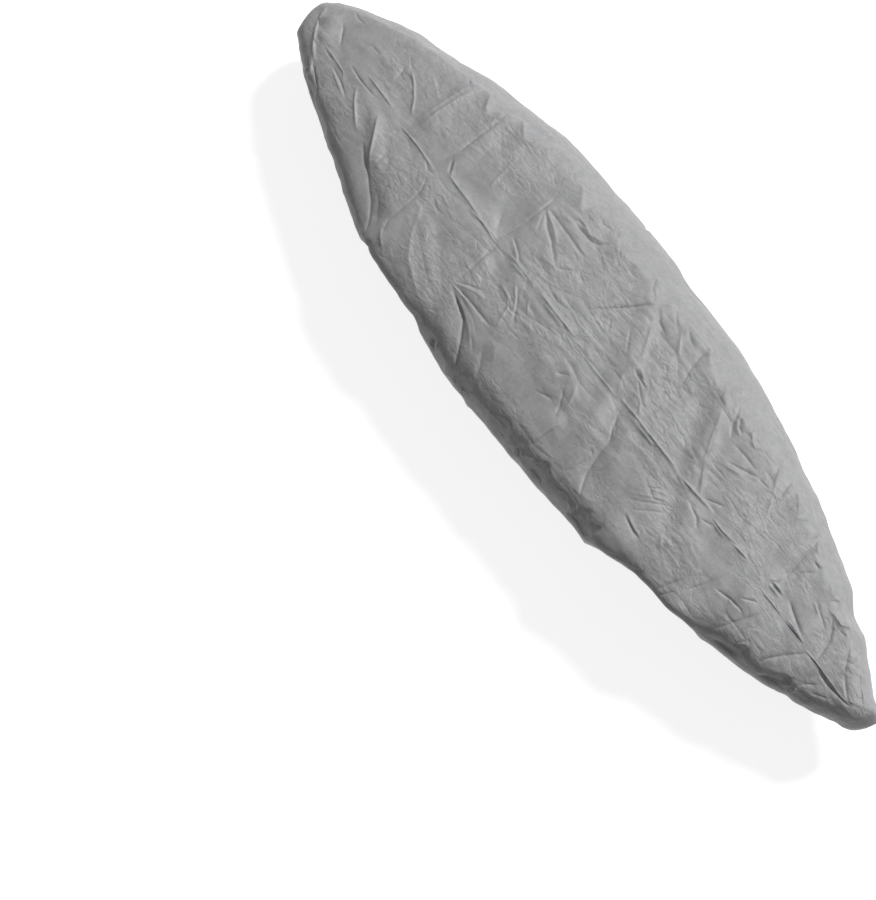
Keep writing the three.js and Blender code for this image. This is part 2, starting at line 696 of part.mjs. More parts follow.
// The plug half: a base with two webbing bars, two springy prongs whose heads show in the
// socket's windows, and a middle guide.
function plugGeometry() {
  const b = BUCKLE;
  const half = b.width / 2;
  const c = b.clearance;
  const base = roundedPanel(b.socketEnd + c, b.baseEnd, b.width, 1, b.corner);
  for (const [x0, x1] of b.plugSlots) base.holes.push(slotHole(x0, x1));
  const shoulder = boxBetween(b.socketEnd + c, b.plugSlots[0][0] - 0.6, b.width, b.thick - 2);
  const thin = b.cavityHeight - 2 * c;
  const inner = b.cavityWidth / 2 - c;
  const prong = (side) => {
    const shape = new THREE.Shape();
    shape.moveTo(b.socketEnd + 2, side * inner);
    shape.lineTo(b.windowEnd - c, side * inner);
    shape.lineTo(b.windowEnd - c, side * (half - 0.6));
    shape.lineTo(b.windowStart + 4, side * (half - 0.9));
    shape.lineTo(b.windowStart + c, side * inner);
    shape.lineTo(b.windowStart + c, side * (inner - 3.4));
    shape.lineTo(b.socketEnd + 2, side * (inner - 3));
    return shape;
  };
  const guide = boxBetween(b.cavityStart + 3, b.socketEnd + 2, 5, thin);
  const solid = toSolid(plate(base, b.barThick))
    .add(toSolid(shoulder))
    .add(toSolid(plate(prong(1), thin)))
    .add(toSolid(plate(prong(-1), thin)))
    .add(toSolid(guide));
  return toGeometry(solid);
}

// A buckle's own X runs along the strap and its Z faces outward, away from the kayak.
function placedBuckle(geometry, frame, strap) {
  const ahead = new THREE.Vector3(0, frame.ahead.x, frame.ahead.y);
  const outward = new THREE.Vector3(0, frame.outward.x, frame.outward.y);
  const across = outward.clone().cross(ahead);
  const matrix = new THREE.Matrix4().makeBasis(ahead, across, outward);
  matrix.setPosition(strap.x, frame.start.x, frame.start.y);
  return geometry.clone().applyMatrix4(matrix);
}

function named(name, geometry, color, roughness) {
  const material = new THREE.MeshStandardMaterial({ color, roughness, metalness: 0 });
  const mesh = new THREE.Mesh(geometry, material);
  mesh.name = name;
  return mesh;
}

function buildStrap(cloth, strap) {
  const nearSewn = sewnStops(cloth, strap, -1);
  const farSewn = sewnStops(cloth, strap, 1);
  const [nearHem, farHem] = [nearSewn, farSewn].map(
    (stops) => new THREE.Vector2(stops.at(-1).at.y, stops.at(-1).at.z),
  );
  const curve = strapCurve(nearHem, farHem, strap.low);
  const frame = buckleFrame(curve, farHem);
  const short = ribbon(shortStops(frame, farSewn, strap));
  const long = ribbon(longStops(frame, nearSewn, curve, strap));
  const socket = placedBuckle(socketGeometry(), frame, strap);
  const plug = placedBuckle(plugGeometry(), frame, strap);
  const group = new THREE.Group();
  group.add(
    named(`${strap.name}_short`, short, WEBBING_COLOR, 0.85),
    named(`${strap.name}_socket`, socket, BUCKLE_COLOR, 0.45),
    named(`${strap.name}_plug`, plug, BUCKLE_COLOR, 0.45),
    named(`${strap.name}_long`, long, WEBBING_COLOR, 0.85),
  );
  return group;
}

const group = new THREE.Group();
const cloth = buildCloth();
group.add(named("cover", cloth.geometry, CLOTH_COLOR, 0.8));
for (const strap of STRAPS) group.add(buildStrap(cloth, strap));

// The origin is below the middle of the part's box, level with its lowest point.
const box = new THREE.Box3().setFromObject(group);
const middle = box.getCenter(new THREE.Vector3());
group.position.set(-middle.x, -middle.y, -box.min.z);

export default group;
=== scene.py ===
"""A grey kayak cover in its worn shape, deck side up: one creased cloth with a gathered hem, and
three buckled webbing straps below. The tables below are in millimetres, in the frame of the
part's own tables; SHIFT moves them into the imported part's frame. The scene is in metres."""

import math

import bmesh
import bpy
import numpy as np
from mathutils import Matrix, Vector


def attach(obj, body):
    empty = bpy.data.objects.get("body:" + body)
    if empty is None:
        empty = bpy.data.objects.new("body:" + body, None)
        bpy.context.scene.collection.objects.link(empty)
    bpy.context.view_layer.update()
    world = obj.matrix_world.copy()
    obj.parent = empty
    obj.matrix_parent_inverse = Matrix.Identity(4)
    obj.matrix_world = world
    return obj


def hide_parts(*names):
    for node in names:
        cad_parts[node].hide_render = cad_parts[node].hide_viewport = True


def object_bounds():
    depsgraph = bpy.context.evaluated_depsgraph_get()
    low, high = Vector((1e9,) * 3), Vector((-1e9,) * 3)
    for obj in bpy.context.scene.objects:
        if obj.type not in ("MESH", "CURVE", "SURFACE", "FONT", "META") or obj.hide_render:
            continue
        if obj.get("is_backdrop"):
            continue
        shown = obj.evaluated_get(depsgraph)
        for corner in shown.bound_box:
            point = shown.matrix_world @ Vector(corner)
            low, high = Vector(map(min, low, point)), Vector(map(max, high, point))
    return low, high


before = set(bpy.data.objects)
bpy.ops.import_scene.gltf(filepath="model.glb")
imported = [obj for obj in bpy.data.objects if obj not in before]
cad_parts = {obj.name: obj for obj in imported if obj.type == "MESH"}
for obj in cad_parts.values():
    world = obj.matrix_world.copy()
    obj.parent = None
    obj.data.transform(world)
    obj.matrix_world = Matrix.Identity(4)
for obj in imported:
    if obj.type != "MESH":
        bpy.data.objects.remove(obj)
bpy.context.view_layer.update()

# Sizes and tables of the part's source, with a rounder near wall.
PER_METRE = 1000.0
SHIFT = np.array([0.0, 1.635, -1.851])
LENGTH = 3100.0
GAP = 0.3
WEBBING_WIDTH, WEBBING_THICKNESS = 25.0, 2.0
NEAR, FAR = -1, 1

# share of the length, near and far half widths, rim height, height of the highest line. The half
# widths were fitted to the photo's outline.
STATIONS = [
    (0, 0, 0, 196, 262), (0.0125, 116, 69, 196, 268), (0.025, 139, 102, 197, 274),
    (0.05, 178, 152, 198, 284), (0.1, 235, 232, 200, 302), (0.15, 280, 276, 202, 316),
    (0.2, 327, 335, 204, 327), (0.25, 376, 365, 206, 335), (0.3, 409, 399, 206, 342),
    (0.35, 420, 411, 206, 347), (0.4, 421, 416, 206, 351), (0.45, 434, 419, 206, 352),
    (0.5, 428, 415, 206, 353), (0.6, 415, 400, 208, 351), (0.65, 400, 382, 208, 348),
    (0.7, 398, 356, 209, 343), (0.75, 348, 313, 209, 337), (0.8, 331, 280, 208, 329),
    (0.84, 281, 236, 207, 322), (0.875, 250, 202, 207, 314), (0.9, 222, 156, 207, 307),
    (0.925, 183, 129, 206, 300), (0.945, 153, 96, 205, 293), (0.96, 128, 69, 205, 288),
    (0.975, 100, 41, 204, 282), (0.99, 78, 23, 204, 277), (1, 0, 0, 204, 272),
]
RIDGE_Y = -66.0
RIDGE_INSET = 96.0
OPENING_START, OPENING_END = -1450.0, 1310.0
# share of the opening's length, half width, height
OPENING = [
    (0, 0, 106), (0.02, 46, 103), (0.055, 84, 98), (0.12, 126, 92), (0.25, 190, 82), (0.4, 252, 74),
    (0.53, 280, 72), (0.66, 244, 75), (0.785, 172, 84), (0.9, 116, 97), (0.957, 80, 106),
    (0.985, 46, 111), (1, 0, 114),
]
# share of the way out from the highest line to the rim, and of the rise
NEAR_SECTION = [
    (0, 1), (0.22, 0.975), (0.45, 0.91), (0.67, 0.8), (0.84, 0.66), (0.945, 0.43), (0.988, 0.2),
    (1, 0),
]
FAR_SECTION = [
    (0, 1), (0.22, 0.985), (0.44, 0.955), (0.6, 0.915), (0.71, 0.84), (0.81, 0.66), (0.92, 0.36),
    (1, 0),
]
SECTION_BLEND = 0.4
# share of the way in from the rim to the hem, the same below a raised edge, and of the drop
UNDER_SECTION = [
    (0, 0, 0), (0.015, 0.1, 0.3), (0.06, 0.24, 0.58), (0.25, 0.42, 0.8), (0.6, 0.66, 0.92),
    (1, 1, 1),
]
# x, reach, ease and share of the stretches where the near side's widest line stands higher
RAISED = [(0, 1550, 330, 0.35), (-510, 265, 130, 1), (800, 285, 130, 1)]
RAISED_BY = 76.0

# from x, y, to x, y, reach, rise
TOP_FOLDS = [
    (-1470, 15, -1375, -110, 55, 9), (-1060, -95, -830, -250, 44, 9),
    (-980, -215, -600, -390, 60, -6), (-945, 240, -860, -80, 50, 6), (-780, 285, -685, -85, 54, 7),
    (-690, -60, -650, -310, 50, 5), (-640, -180, -280, -385, 46, 8),
    (-580, -200, -230, -395, 50, -7), (-540, 165, -230, -215, 75, -7),
    (-410, 255, -340, -280, 50, 5), (-360, -255, -110, -390, 50, -6), (70, 270, -30, 0, 46, 5),
    (50, 275, 305, -165, 60, 8), (210, 50, 505, -375, 66, -7), (230, -230, 235, -400, 50, 6),
    (445, 255, 655, -85, 46, 8), (385, 215, 590, -85, 56, -6), (590, -65, 750, -230, 56, -6),
    (858, 90, 887, -310, 46, 5), (972, 215, 1052, -275, 46, 5), (1217, 85, 1198, -235, 46, 5),
    (1327, 80, 1308, -180, 44, 5),
]
FOLD_TAPER = 0.3
# side, x, reach, depth
POCKETS = [
    (-1, -1250, 120, 6), (-1, -240, 100, 8), (-1, -60, 85, 8), (-1, 130, 90, 6), (-1, 320, 90, 8),
    (-1, 525, 95, 10), (-1, 1130, 95, 8), (-1, 1280, 80, 8), (1, -1180, 110, 9), (1, -860, 120, 10),
    (1, -400, 120, 8), (1, 60, 130, 8), (1, 560, 120, 9), (1, 960, 110, 10), (1, 1240, 90, 8),
]
POCKET_TOP, POCKET_BOTTOM = 0.62, 1.14
PLEATS_PER_SIDE = 17
# at the middle and at the ends
PLEAT_DEPTH, PLEAT_START = (8.0, 17.0), (1.55, 1.1)
PLEAT_WANDER, PLEAT_WAVES = 0.9, 5
ENDS_POWER = 4
FLAT_MARGIN, FLAT_REACH = 4.0, 60.0
# the runs where the top's folds end and where a strap starts to hold, each with its length
TOP_FOLDS_END, HELD_BELOW = (0.6, 0.35), (1.2, 0.3)

# name, x, low, where the tail leaves, the tail's way in plan
STRAPS = [
    ("strap_1", -760.0, 16.0, -20.0, [(-6, -30), (-17, -82), (-27, -132)]),
    ("strap_2", 30.0, 3.6, 92.0, [(-10, -22), (-34, -40), (-62, -52)]),
    ("strap_3", 715.0, 18.0, -66.0, [(-11, -20), (-30, -46), (-38, -84)]),
]
# y, z and turn in degrees of the strips sewn inside the hem, from inside the wall to the hem:
# the places that the part's source works out from its cloth, to 0.1 mm
SEWN = {
    "strap_1_short": [(277.4, 99.3, 11), (234.6, 92.2, 10), (189.4, 86.4, 9), (186.4, 86.0, 9)],
    "strap_1_long": [(-279.5, 99.9, -8), (-235.8, 92.4, -9), (-189.3, 86.3, -9), (-186.4, 86.0, -9)],
    "strap_2_short": [(344.8, 90.3, -2), (312.8, 82.6, -2), (278.9, 76.4, -1), (275.9, 75.8, -1)],
    "strap_2_long": [(-345.8, 90.3, 2), (-313.3, 82.6, 2), (-278.8, 76.4, 1), (-275.9, 75.8, 1)],
    "strap_3_short": [(249.3, 101.4, -14), (211.6, 94.2, -12), (171.7, 88.3, -11), (168.8, 87.9, -11)],
    "strap_3_long": [(-249.8, 108.9, 15), (-213.8, 97.6, 13), (-171.4, 88.2, 11), (-168.4, 87.6, 11)],
}
STRAP_BELLY = 1.9
SHORT_VISIBLE = 42.0
DOUBLED_BACK = 26.0
# along the buckle from the socket's bar: the socket's bar, the plug's middle bar, the plug's end
SOCKET_BAR, PLUG_BAR, BUCKLE_END = 1.75, 41.4, 49.5
BUCKLE_CHORD = 0.97
BAR_RADIUS, BAR_CLEARANCE = 1.6, 0.7
LANE = BAR_RADIUS + WEBBING_THICKNESS / 2 + BAR_CLEARANCE
LAYER = WEBBING_THICKNESS + 2 * GAP
BAR_SHIFT = 0.9
BAR_STEPS, CURVE_STEPS, TAIL_STEPS, ROUNDINGS = 13, 15, 13, 4
# past the buckle's ends: where the webbing lies flat, closes on itself and turns to a bar, and
# how far the short strip draws in there
SHORT_FLAT, SHORT_CLOSED, SHORT_TURN = -20, -14, -7
CLOSED_IN, FLAT_IN = 0.2, 0.6
LONG_FLAT, LONG_TURN, LONG_START = 22, 4, 11
# share of the webbing's half width, and of its half thickness: a flat band with rounded edges
WEBBING_EDGE = [(0.99, 0.0), (0.975, 0.5), (0.93, 0.86), (0.8, 0.9), (0.4, 0.84), (0.0, 0.84)]
WEBBING_STEP = 1.0

# The creases of this scene. Runs are in hundredths here: 0 at the highest line, 100 at the rim
# and 200 at the hem. First the thin crease along the middle, in its stretches: side, rise, then x
# and run of each point. Then narrow ridges, or valleys where the rise is below zero: rise, height
# of a broad fold with its crest on the same line, half width, then x and run of each point.
MIDDLE_CREASE = [
    (FAR, 2.4, -1170, 3, -1085, 2.5, -1000, 1.5),
    (NEAR, 2.2, -940, 2, -830, 1.5, -727, 3.5),
    (FAR, 3, -690, 2, -560, 1.2, -470, 0, -380, 0.8),
    (FAR, 1.6, -340, 1, -250, 0.6, -180, 1),
    (FAR, 2.7, -160, 1.2, -80, 0.6, 35, 1),
    (NEAR, 1.4, 40, 0.4, 160, 1, 280, 1.4),
    (FAR, 3, 280, 1, 430, 0.8, 580, 1.2),
    (FAR, 3, 605, 0.4, 680, 1.6, 750, 3),
    (FAR, 2.7, 770, 1.2, 820, 0.8, 870, 2),
    (FAR, 2.4, 875, 1.2, 940, 3),
    (NEAR, 1.9, 1035, 2, 1150, 1),
    (FAR, 3, 1150, 0.8, 1245, 0.4),
    (NEAR, 3.2, 1262, 3, 1350, 3, 1450, 4),
]
FAR_BLUNT = [
    (2.5, 1.5, 9, -1511, 38, -1490, 23, -1475, 9, -1475, 1), (-1.4, 0, 7, -1462, 26, -1470, 14),
    (-1.8, 0, 8, -1431, 55, -1400, 42, -1358, 36), (-2.2, 0, 8, -1407, 23, -1374, 13, -1332, 2),
    (-1.4, 0, 7, -1275, 21, -1207, 20), (-1.5, 0, 7, -1129, 28, -1108, 20, -1106, 14),
    (2.6, 0, 7, -1103, 28, -1051, 22, -999, 15, -947, 6.5), (-1.2, 0, 8, -1155, 37, -1072, 25),
    (1.2, 0, 8, -1056, 39, -952, 25), (1.8, 1.5, 7, -937, 53, -934, 33, -924, 17, -926, 5),
    (1.5, 0, 6, -913, 53, -913, 33, -908, 22, -898, 8), (-2.6, 0, 8, -984, 68, -942, 53),
    (1, 3.5, 7, -900, 72, -848, 51, -822, 41, -802, 42),
    (-2.2, -3, 8, -791, 65, -770, 50, -760, 38, -750, 23, -739, 14, -750, 3),
    (2.2, 3, 8, -750, 70, -703, 58, -656, 48, -635, 50), (-0.5, -2.5, 9, -698, 35, -661, 29),
    (-2.2, 0, 7, -729, 9, -687, 2), (1.6, 0, 6, -716, 9, -672, 1.5),
    (1.3, -1.5, 7, -614, 33, -588, 21, -568, 11), (-2.2, 0, 8, -646, 80, -635, 70, -599, 66),
]
FAR_MIDDLE = [
    (-2.2, -2, 8, -485, 67, -435, 56), (0.8, 3.5, 8, -415, 63, -378, 54, -340, 47),
    (-1.6, -2, 7, -417, 38, -405, 27, -395, 16.5, -395, 8, -402, 0),
    (-2.6, 0, 8, -400, 28, -290, 27.5, -180, 26), (1.8, 0, 7, -395, 26.2, -335, 24.3, -260, 20),
    (-2.6, 0, 8, -398, 26.5, -335, 21.5, -285, 19, -200, 13), (-1.5, 0, 6, -395, 26, -345, 17),
    (-1, 0, 7, -500, 28, -410, 28), (-1.8, 0, 8, -200, 13, -155, 20),
    (1.2, 0, 7, -275, 11, -200, 13),
    (-2.8, 0, 9, -315, 36, -275, 34.5, -230, 34.5, -200, 37, -180, 44, -168, 48),
    (2.2, 2, 8, -312, 40, -240, 37, -205, 40.5, -192, 46), (-1.8, 0, 7, -315, 36.8, -260, 38.8),
    (-2.4, -2, 9, -220, 65, -203, 58, -185, 52), (-1.4, 0, 7, -280, 53, -230, 52),
    (-2, 0, 6, -380, 7.5, -325, 5, -280, 2), (1.6, 0, 6, -372, 6, -320, 3.5, -285, 1),
    (0.8, 3, 8, -160, 47, -140, 46, -105, 52),
    (-3.4, 0, 9, -235, 130, -215, 102, -190, 85, -170, 78), (-2.6, 0, 8, -10, 62, 25, 51, 65, 46),
    (1.8, 1.5, 7, -4, 65, 38, 53.5), (-2.4, -1.5, 7, 85, 45, 45, 30, 0, 18, -30, 11.5),
    (-3.2, 0, 10, 92, 46, 135, 39, 185, 37), (-2.4, 0, 9, 115, 59.5, 155, 52, 190, 47),
    (1.5, 3.5, 9, 110, 38, 165, 27.5, 210, 20, 225, 8, 272, 0),
    (-1.8, -1.5, 9, 200, 56.5, 240, 50, 280, 47), (2, 1.5, 9, 205, 47, 240, 40, 275, 33.5),
    (-1.6, -1, 7, 295, 63.5, 310, 47, 325, 37, 350, 28.5, 345, 25), (1.4, 0, 6, 305, 69, 325, 52),
    (-2.2, 0, 6, 220, 14.5, 250, 13, 320, 12), (-2.2, 0, 6, 260, 12.5, 300, 9.5, 340, 7, 370, 6.5),
    (1.8, 0, 6, 235, 15.8, 280, 14.2), (1.3, 0, 6, 325, 7.5, 375, 1.5),
    (-1.4, 0, 6, 40, 19.5, 80, 14), (-1.4, 0, 6, 105, 23.5, 180, 14),
    (0.6, 3.5, 8, 415, 58, 465, 46, 510, 39), (-1, -3, 12, -478, 12, -425, 3),
    (-1.4, 0, 6, -155, 20, -105, 19),
]
FAR_POINTED = [
    (-2.4, 0, 8, 500, 58, 531, 47.5, 557, 38, 594, 32), (-3.2, 0, 8, 547, 48, 568, 42.5, 599, 40.5),
    (2.4, 0, 7, 552, 45, 573, 39.5, 601, 38.5), (2.2, 0, 8, 604, 50, 635, 45, 661, 44),
    (-2, 0, 7, 609, 32, 656, 34.5, 718, 37), (-2.2, -1, 7, 640, 23.5, 677, 27, 724, 33, 744, 36),
    (1.5, 0, 6, 655, 22, 710, 27), (-1.4, 0, 6, 744, 35.5, 791, 39),
    (2.4, -2, 8, 708, 75.5, 744, 63.5, 770, 51.5, 812, 39),
    (2.4, 2, 8, 796, 70.5, 817, 61.5, 833, 48, 843, 42), (1.8, 3, 8, 822, 65.5, 864, 61.5, 916, 50),
    (1.2, 0, 7, 812, 39, 864, 25), (1.8, 2, 8, 890, 80, 921, 72, 926, 60),
    (3, 2, 8, 942, 81, 978, 72, 989, 56), (2.4, 2.5, 8, 999, 63.5, 1025, 55.5, 1067, 54),
    (-3.2, 0, 7, 1054, 44, 1084, 46), (-1.8, -1.5, 7, 1010, 53.5, 1025, 33.5, 1041, 22, 1041, 13),
    (-1.5, 0, 7, 1088, 42, 1062, 28, 1056, 20), (2.4, 0, 6, 1036, 8.5, 1085, 9.5),
    (-2.4, 0, 6, 1036, 7, 1090, 7.5), (2.2, 0, 6, 1038, 5, 1088, 5.5),
    (2, 0, 7, 1041, 19.5, 1041, 11, 1025, 6.5), (-3.2, 0, 9, 1108, 11, 1171, 6.5, 1228, 1.5),
    (-2, 0, 7, 1160, 28, 1197, 26, 1249, 23.5), (1.6, 0, 6, 1160, 25.5, 1200, 23.5),
    (2, 0, 8, 1197, 59.5, 1181, 46),
    (3.2, 2, 9, 1197, 36, 1228, 40.5, 1259, 44, 1275, 55.5, 1280, 70.5),
    (-2.6, -1.5, 8, 1223, 37.5, 1254, 32, 1280, 23.5, 1296, 11, 1306, 0),
    (-2.6, 0, 8, 1270, 39, 1301, 46),
    (-2, -1.5, 8, 1306, 53, 1353, 33, 1379, 23.5, 1384, 11, 1389, 0),
    (2, 0, 8, 1353, 61.5, 1374, 33), (-1.8, 0, 9, 1384, 22.5, 1436, 11, 1472, 1),
    (1.6, 0, 9, 1384, 57.5, 1445, 43, 1509, 29), (-1.6, 0, 9, 1400, 50, 1470, 36),
    (2.6, 3, 9, 500, 37.5, 568, 21.5, 620, 13, 672, 5.5, 690, 2),
    (-1.5, 0, 7, 575, 25, 600, 17, 640, 11), (-2.2, 0, 7, 703, 3.5, 734, 7, 765, 10.5),
    (-2.8, 0, 9, 1030, 95, 1056, 80, 1077, 63), (-2, 0, 9, 625, 105, 651, 88, 672, 80),
]
NEAR_BLUNT = [
    (3.5, 2.5, 13, -1480, 0, -1440, 20, -1395, 36, -1350, 45, -1305, 62, -1296, 98),
    (-2.4, -2, 9, -1385, 38, -1330, 50, -1240, 60, -1195, 66),
    (2.4, 0, 9, -1355, 50, -1335, 62, -1330, 80), (-2.6, 0, 8, -1370, 55, -1325, 65),
    (2.6, 1.5, 8, -1155, 13, -1110, 24, -1060, 31, -1010, 36),
    (3.2, 2, 9, -1015, 12, -960, 24, -900, 36, -860, 41),
    (-2.2, -1, 8, -960, 36, -900, 42, -850, 44, -760, 52, -720, 60, -690, 70, -668, 90),
    (1.6, 0, 7, -1370, 17, -1310, 16, -1230, 17, -1200, 24), (-1.3, 0, 7, -1360, 21, -1290, 20),
    (-1.8, 0, 7, -1280, 24, -1200, 26, -1130, 31), (1.4, 0, 6, -1270, 27, -1150, 32.5),
    (-2, 0, 7, -1240, 3, -1170, 6, -1080, 5), (-1, 0, 6, -853, 40, -885, 18),
    (1, 0, 6, -850, 40, -860, 22), (-1.1, 0, 6, -848, 40, -800, 27), (1, 0, 6, -846, 40, -780, 24),
    (-0.5, -4, 12, -785, 40, -730, 48, -675, 58),
    (-1.8, -1, 7, -725, 8, -688, 18, -672, 30, -660, 47, -630, 57),
    (-1.8, 0, 7, -775, 3.5, -740, 6.5, -710, 5), (1.8, 2, 8, -655, 54, -620, 60, -580, 65),
    (-3.4, 0, 8, -638, 72, -636, 90, -640, 108),
    (-0.5, -4.5, 14, -600, 30, -520, 38, -400, 48, -300, 58, -262, 68),
    (1, 4, 14, -650, 22, -560, 40, -500, 50, -400, 59, -330, 66),
    (-1.2, 0, 7, -650, 14, -600, 17, -560, 16), (1.2, 0, 7, -660, 13, -630, 9, -580, 11),
]
NEAR_MIDDLE = [
    (-2, -1.5, 7, -378, 0, -370, 10, -352, 25, -348, 34),
    (-1.8, 0, 6, -345, 34, -300, 28, -262, 24), (1.6, 0, 6, -340, 34.5, -280, 28.5, -235, 26.2),
    (-2.6, 0, 6, -345, 35.5, -270, 34, -200, 33, -135, 32.5), (1.4, 0, 5, -340, 36.2, -260, 35),
    (-3, -2.5, 8, -342, 37, -285, 40, -225, 43, -180, 51, -145, 60, -122, 70, -118, 80),
    (1.3, 0, 6, -335, 37.5, -250, 39.5, -190, 43, -130, 50),
    (-1.2, 0, 6, -300, 36.5, -210, 37.5, -150, 42), (2.4, 0, 6, -225, 7.5, -180, 13, -150, 17),
    (-2.2, 0, 6, -220, 6, -170, 13, -115, 22), (2.2, 0, 6, -250, 14, -185, 15.5),
    (1.8, 0, 6, -182, 15.5, -155, 25, -140, 30), (1.8, 0, 6, -155, 7, -135, 10, -115, 12.5),
    (-1, -3, 12, -118, 41, -60, 53, -25, 68), (0.6, 3, 12, -130, 36, -80, 38, -30, 47),
    (-1.2, 0, 6, -165, 44, -130, 48, -110, 51), (-3.6, 0, 7, -256, 72, -252, 85, -240, 97),
    (3, 0, 8, -222, 68, -213, 80, -225, 92), (3.4, 0, 6, -92, 66, -90, 78, -82, 90, -66, 102),
    (-4, 0, 6, -103, 75, -98, 88, -84, 105),
    (2.8, 0, 6, -12, 73, -25, 85, -45, 97, -62, 102, -66, 120),
    (2.4, 0, 7, -110, 88, -140, 105, -168, 125), (-1.8, 0, 7, 102, 20, 135, 15),
    (-1.8, 0, 7, 112, 35, 160, 31, 175, 32), (-1.6, 0, 7, 150, 20, 200, 30, 230, 38),
    (1.4, 1.5, 8, 170, 14, 215, 26, 222, 30), (-2.2, -1, 5, 255, 36, 254, 50, 253, 64),
    (1.3, 0, 5, 246, 37, 246, 60),
    (-2, -2, 7, 325, 5, 355, 14, 385, 20, 400, 30, 425, 42, 450, 50, 480, 60),
    (-1.2, 0, 6, 345, 10, 380, 16), (-1.6, 0, 6, 395, 35, 390, 48, 385, 55),
    (1.4, 0, 6, 408, 42, 398, 56, 396, 65), (-2, 0, 6, 372, 31, 390, 33),
    (-2.6, 0, 7, 235, 68, 222, 82, 200, 98), (3, 0, 7, 246, 79, 270, 74, 296, 69),
]
NEAR_POINTED = [
    (2.8, 0, 8, 487, 62, 505, 75, 512, 83, 500, 96), (-3, 0, 6, 490, 70, 500, 85, 505, 95),
    (-2.2, -1.5, 7, 607, 40, 660, 44, 715, 48), (1.8, 0, 6, 602, 38, 655, 42, 700, 45.5),
    (-1.2, 0, 6, 665, 16, 610, 27, 570, 33), (1, 0, 6, 650, 14, 595, 24, 555, 30),
    (-1.1, 0, 6, 680, 20, 630, 31, 600, 37), (1, 0, 6, 635, 12, 590, 19),
    (-1.2, 0, 6, 615, 10, 585, 19, 620, 21, 650, 17), (-2.2, 0, 7, 690, 5, 745, 8, 772, 13),
    (-1.8, 0, 6, 755, 6, 790, 2), (1.4, 1.5, 8, 725, 33, 762, 42),
    (-2.8, 0, 7, 878, 42, 864, 62, 855, 96), (-2, 0, 7, 897, 55, 880, 75, 862, 98),
    (-2.2, 0, 6, 938, 20, 926, 35, 912, 48), (1.5, 0, 6, 946, 16, 941, 40),
    (-2.2, 0, 6, 955, 30, 1010, 28, 1068, 29), (-1.8, 0, 6, 1025, 22, 1066, 12),
    (-2.2, -1.5, 8, 1097, 18, 1075, 40, 1055, 60, 1050, 72),
    (-2.2, -1.5, 8, 1277, 3, 1240, 30, 1215, 50, 1208, 72),
    (-1.8, 0, 7, 1146, 42, 1127, 58, 1120, 70), (-3.4, 0, 6, 1333, 58, 1326, 80, 1322, 96),
    (2.6, 0, 6, 1340, 62, 1334, 85), (-3, 0, 6, 1400, 65, 1360, 78, 1332, 97),
    (-1.8, -1, 9, 1375, 27, 1345, 45, 1336, 58), (-1.4, 0, 9, 1425, 42, 1370, 55),
    (-2.4, -3, 14, 1330, 9, 1375, 13, 1430, 16, 1490, 24),
]
CREASES = [(side, rise, 1, 5, *points) for side, rise, *points in MIDDLE_CREASE]
CREASES += [(FAR, *row) for row in FAR_BLUNT + FAR_MIDDLE + FAR_POINTED]
CREASES += [(NEAR, *row) for row in NEAR_BLUNT + NEAR_MIDDLE + NEAR_POINTED]
TENT_REACH = 46.0
TAPER_LENGTH, TAPER_SHARE, TAPER_LEFT = 55.0, 0.4, 0.15
# in half widths: how far a crease's sharp edge and its foot reach
CREASE_EDGE, CREASE_FOOT = 1.05, 2.2
CREASE_SHARP, CREASE_ROUND, CREASE_POWER = 1.6, 0.2, 1.4

# Dents of the near wall, each an arch that the wall is drawn in below: the middle's x, half
# length, run of its top and bottom, depth, and how far it slants along x for each unit of run.
DENTS = [
    (-1250, 60, 0.62, 1, 4, -120), (-1120, 70, 0.7, 1.05, 4, -120), (-930, 80, 0.72, 1.1, 4, -120),
    (-780, 60, 0.74, 1.1, 4.5, -120), (-420, 34, 0.78, 1.05, 4.5, -60),
    (-330, 30, 0.74, 1.05, 5, -30), (-246, 20, 0.72, 1.02, 7, 60), (-165, 30, 0.78, 1.1, 6, -60),
    (-50, 36, 0.63, 1.04, 7.5, 10), (45, 46, 0.75, 1.12, 7.5, -60), (138, 44, 0.62, 1.08, 9, -40),
    (228, 26, 0.68, 1.1, 10.5, -90), (328, 34, 0.59, 1.05, 10, -30), (440, 46, 0.66, 1.1, 7.5, -20),
    (536, 26, 0.575, 1.02, 10.5, -75), (600, 26, 0.58, 0.98, 7, -130), (700, 22, 0.74, 1, 4, -120),
    (780, 24, 0.72, 1, 4, -120), (985, 30, 0.76, 1.05, 4.5, -120), (1088, 20, 0.6, 0.96, 5, -60),
    (1160, 38, 0.52, 1.02, 10, -120), (1305, 26, 0.5, 1, 10, -90), (1385, 28, 0.66, 1.02, 6, -120),
]
DENT_EDGE, DENT_FADE, DENT_SIDES = 0.05, 0.2, 0.35
DENT_ARCH, DENT_ARCH_POWER = 0.24, 2.4

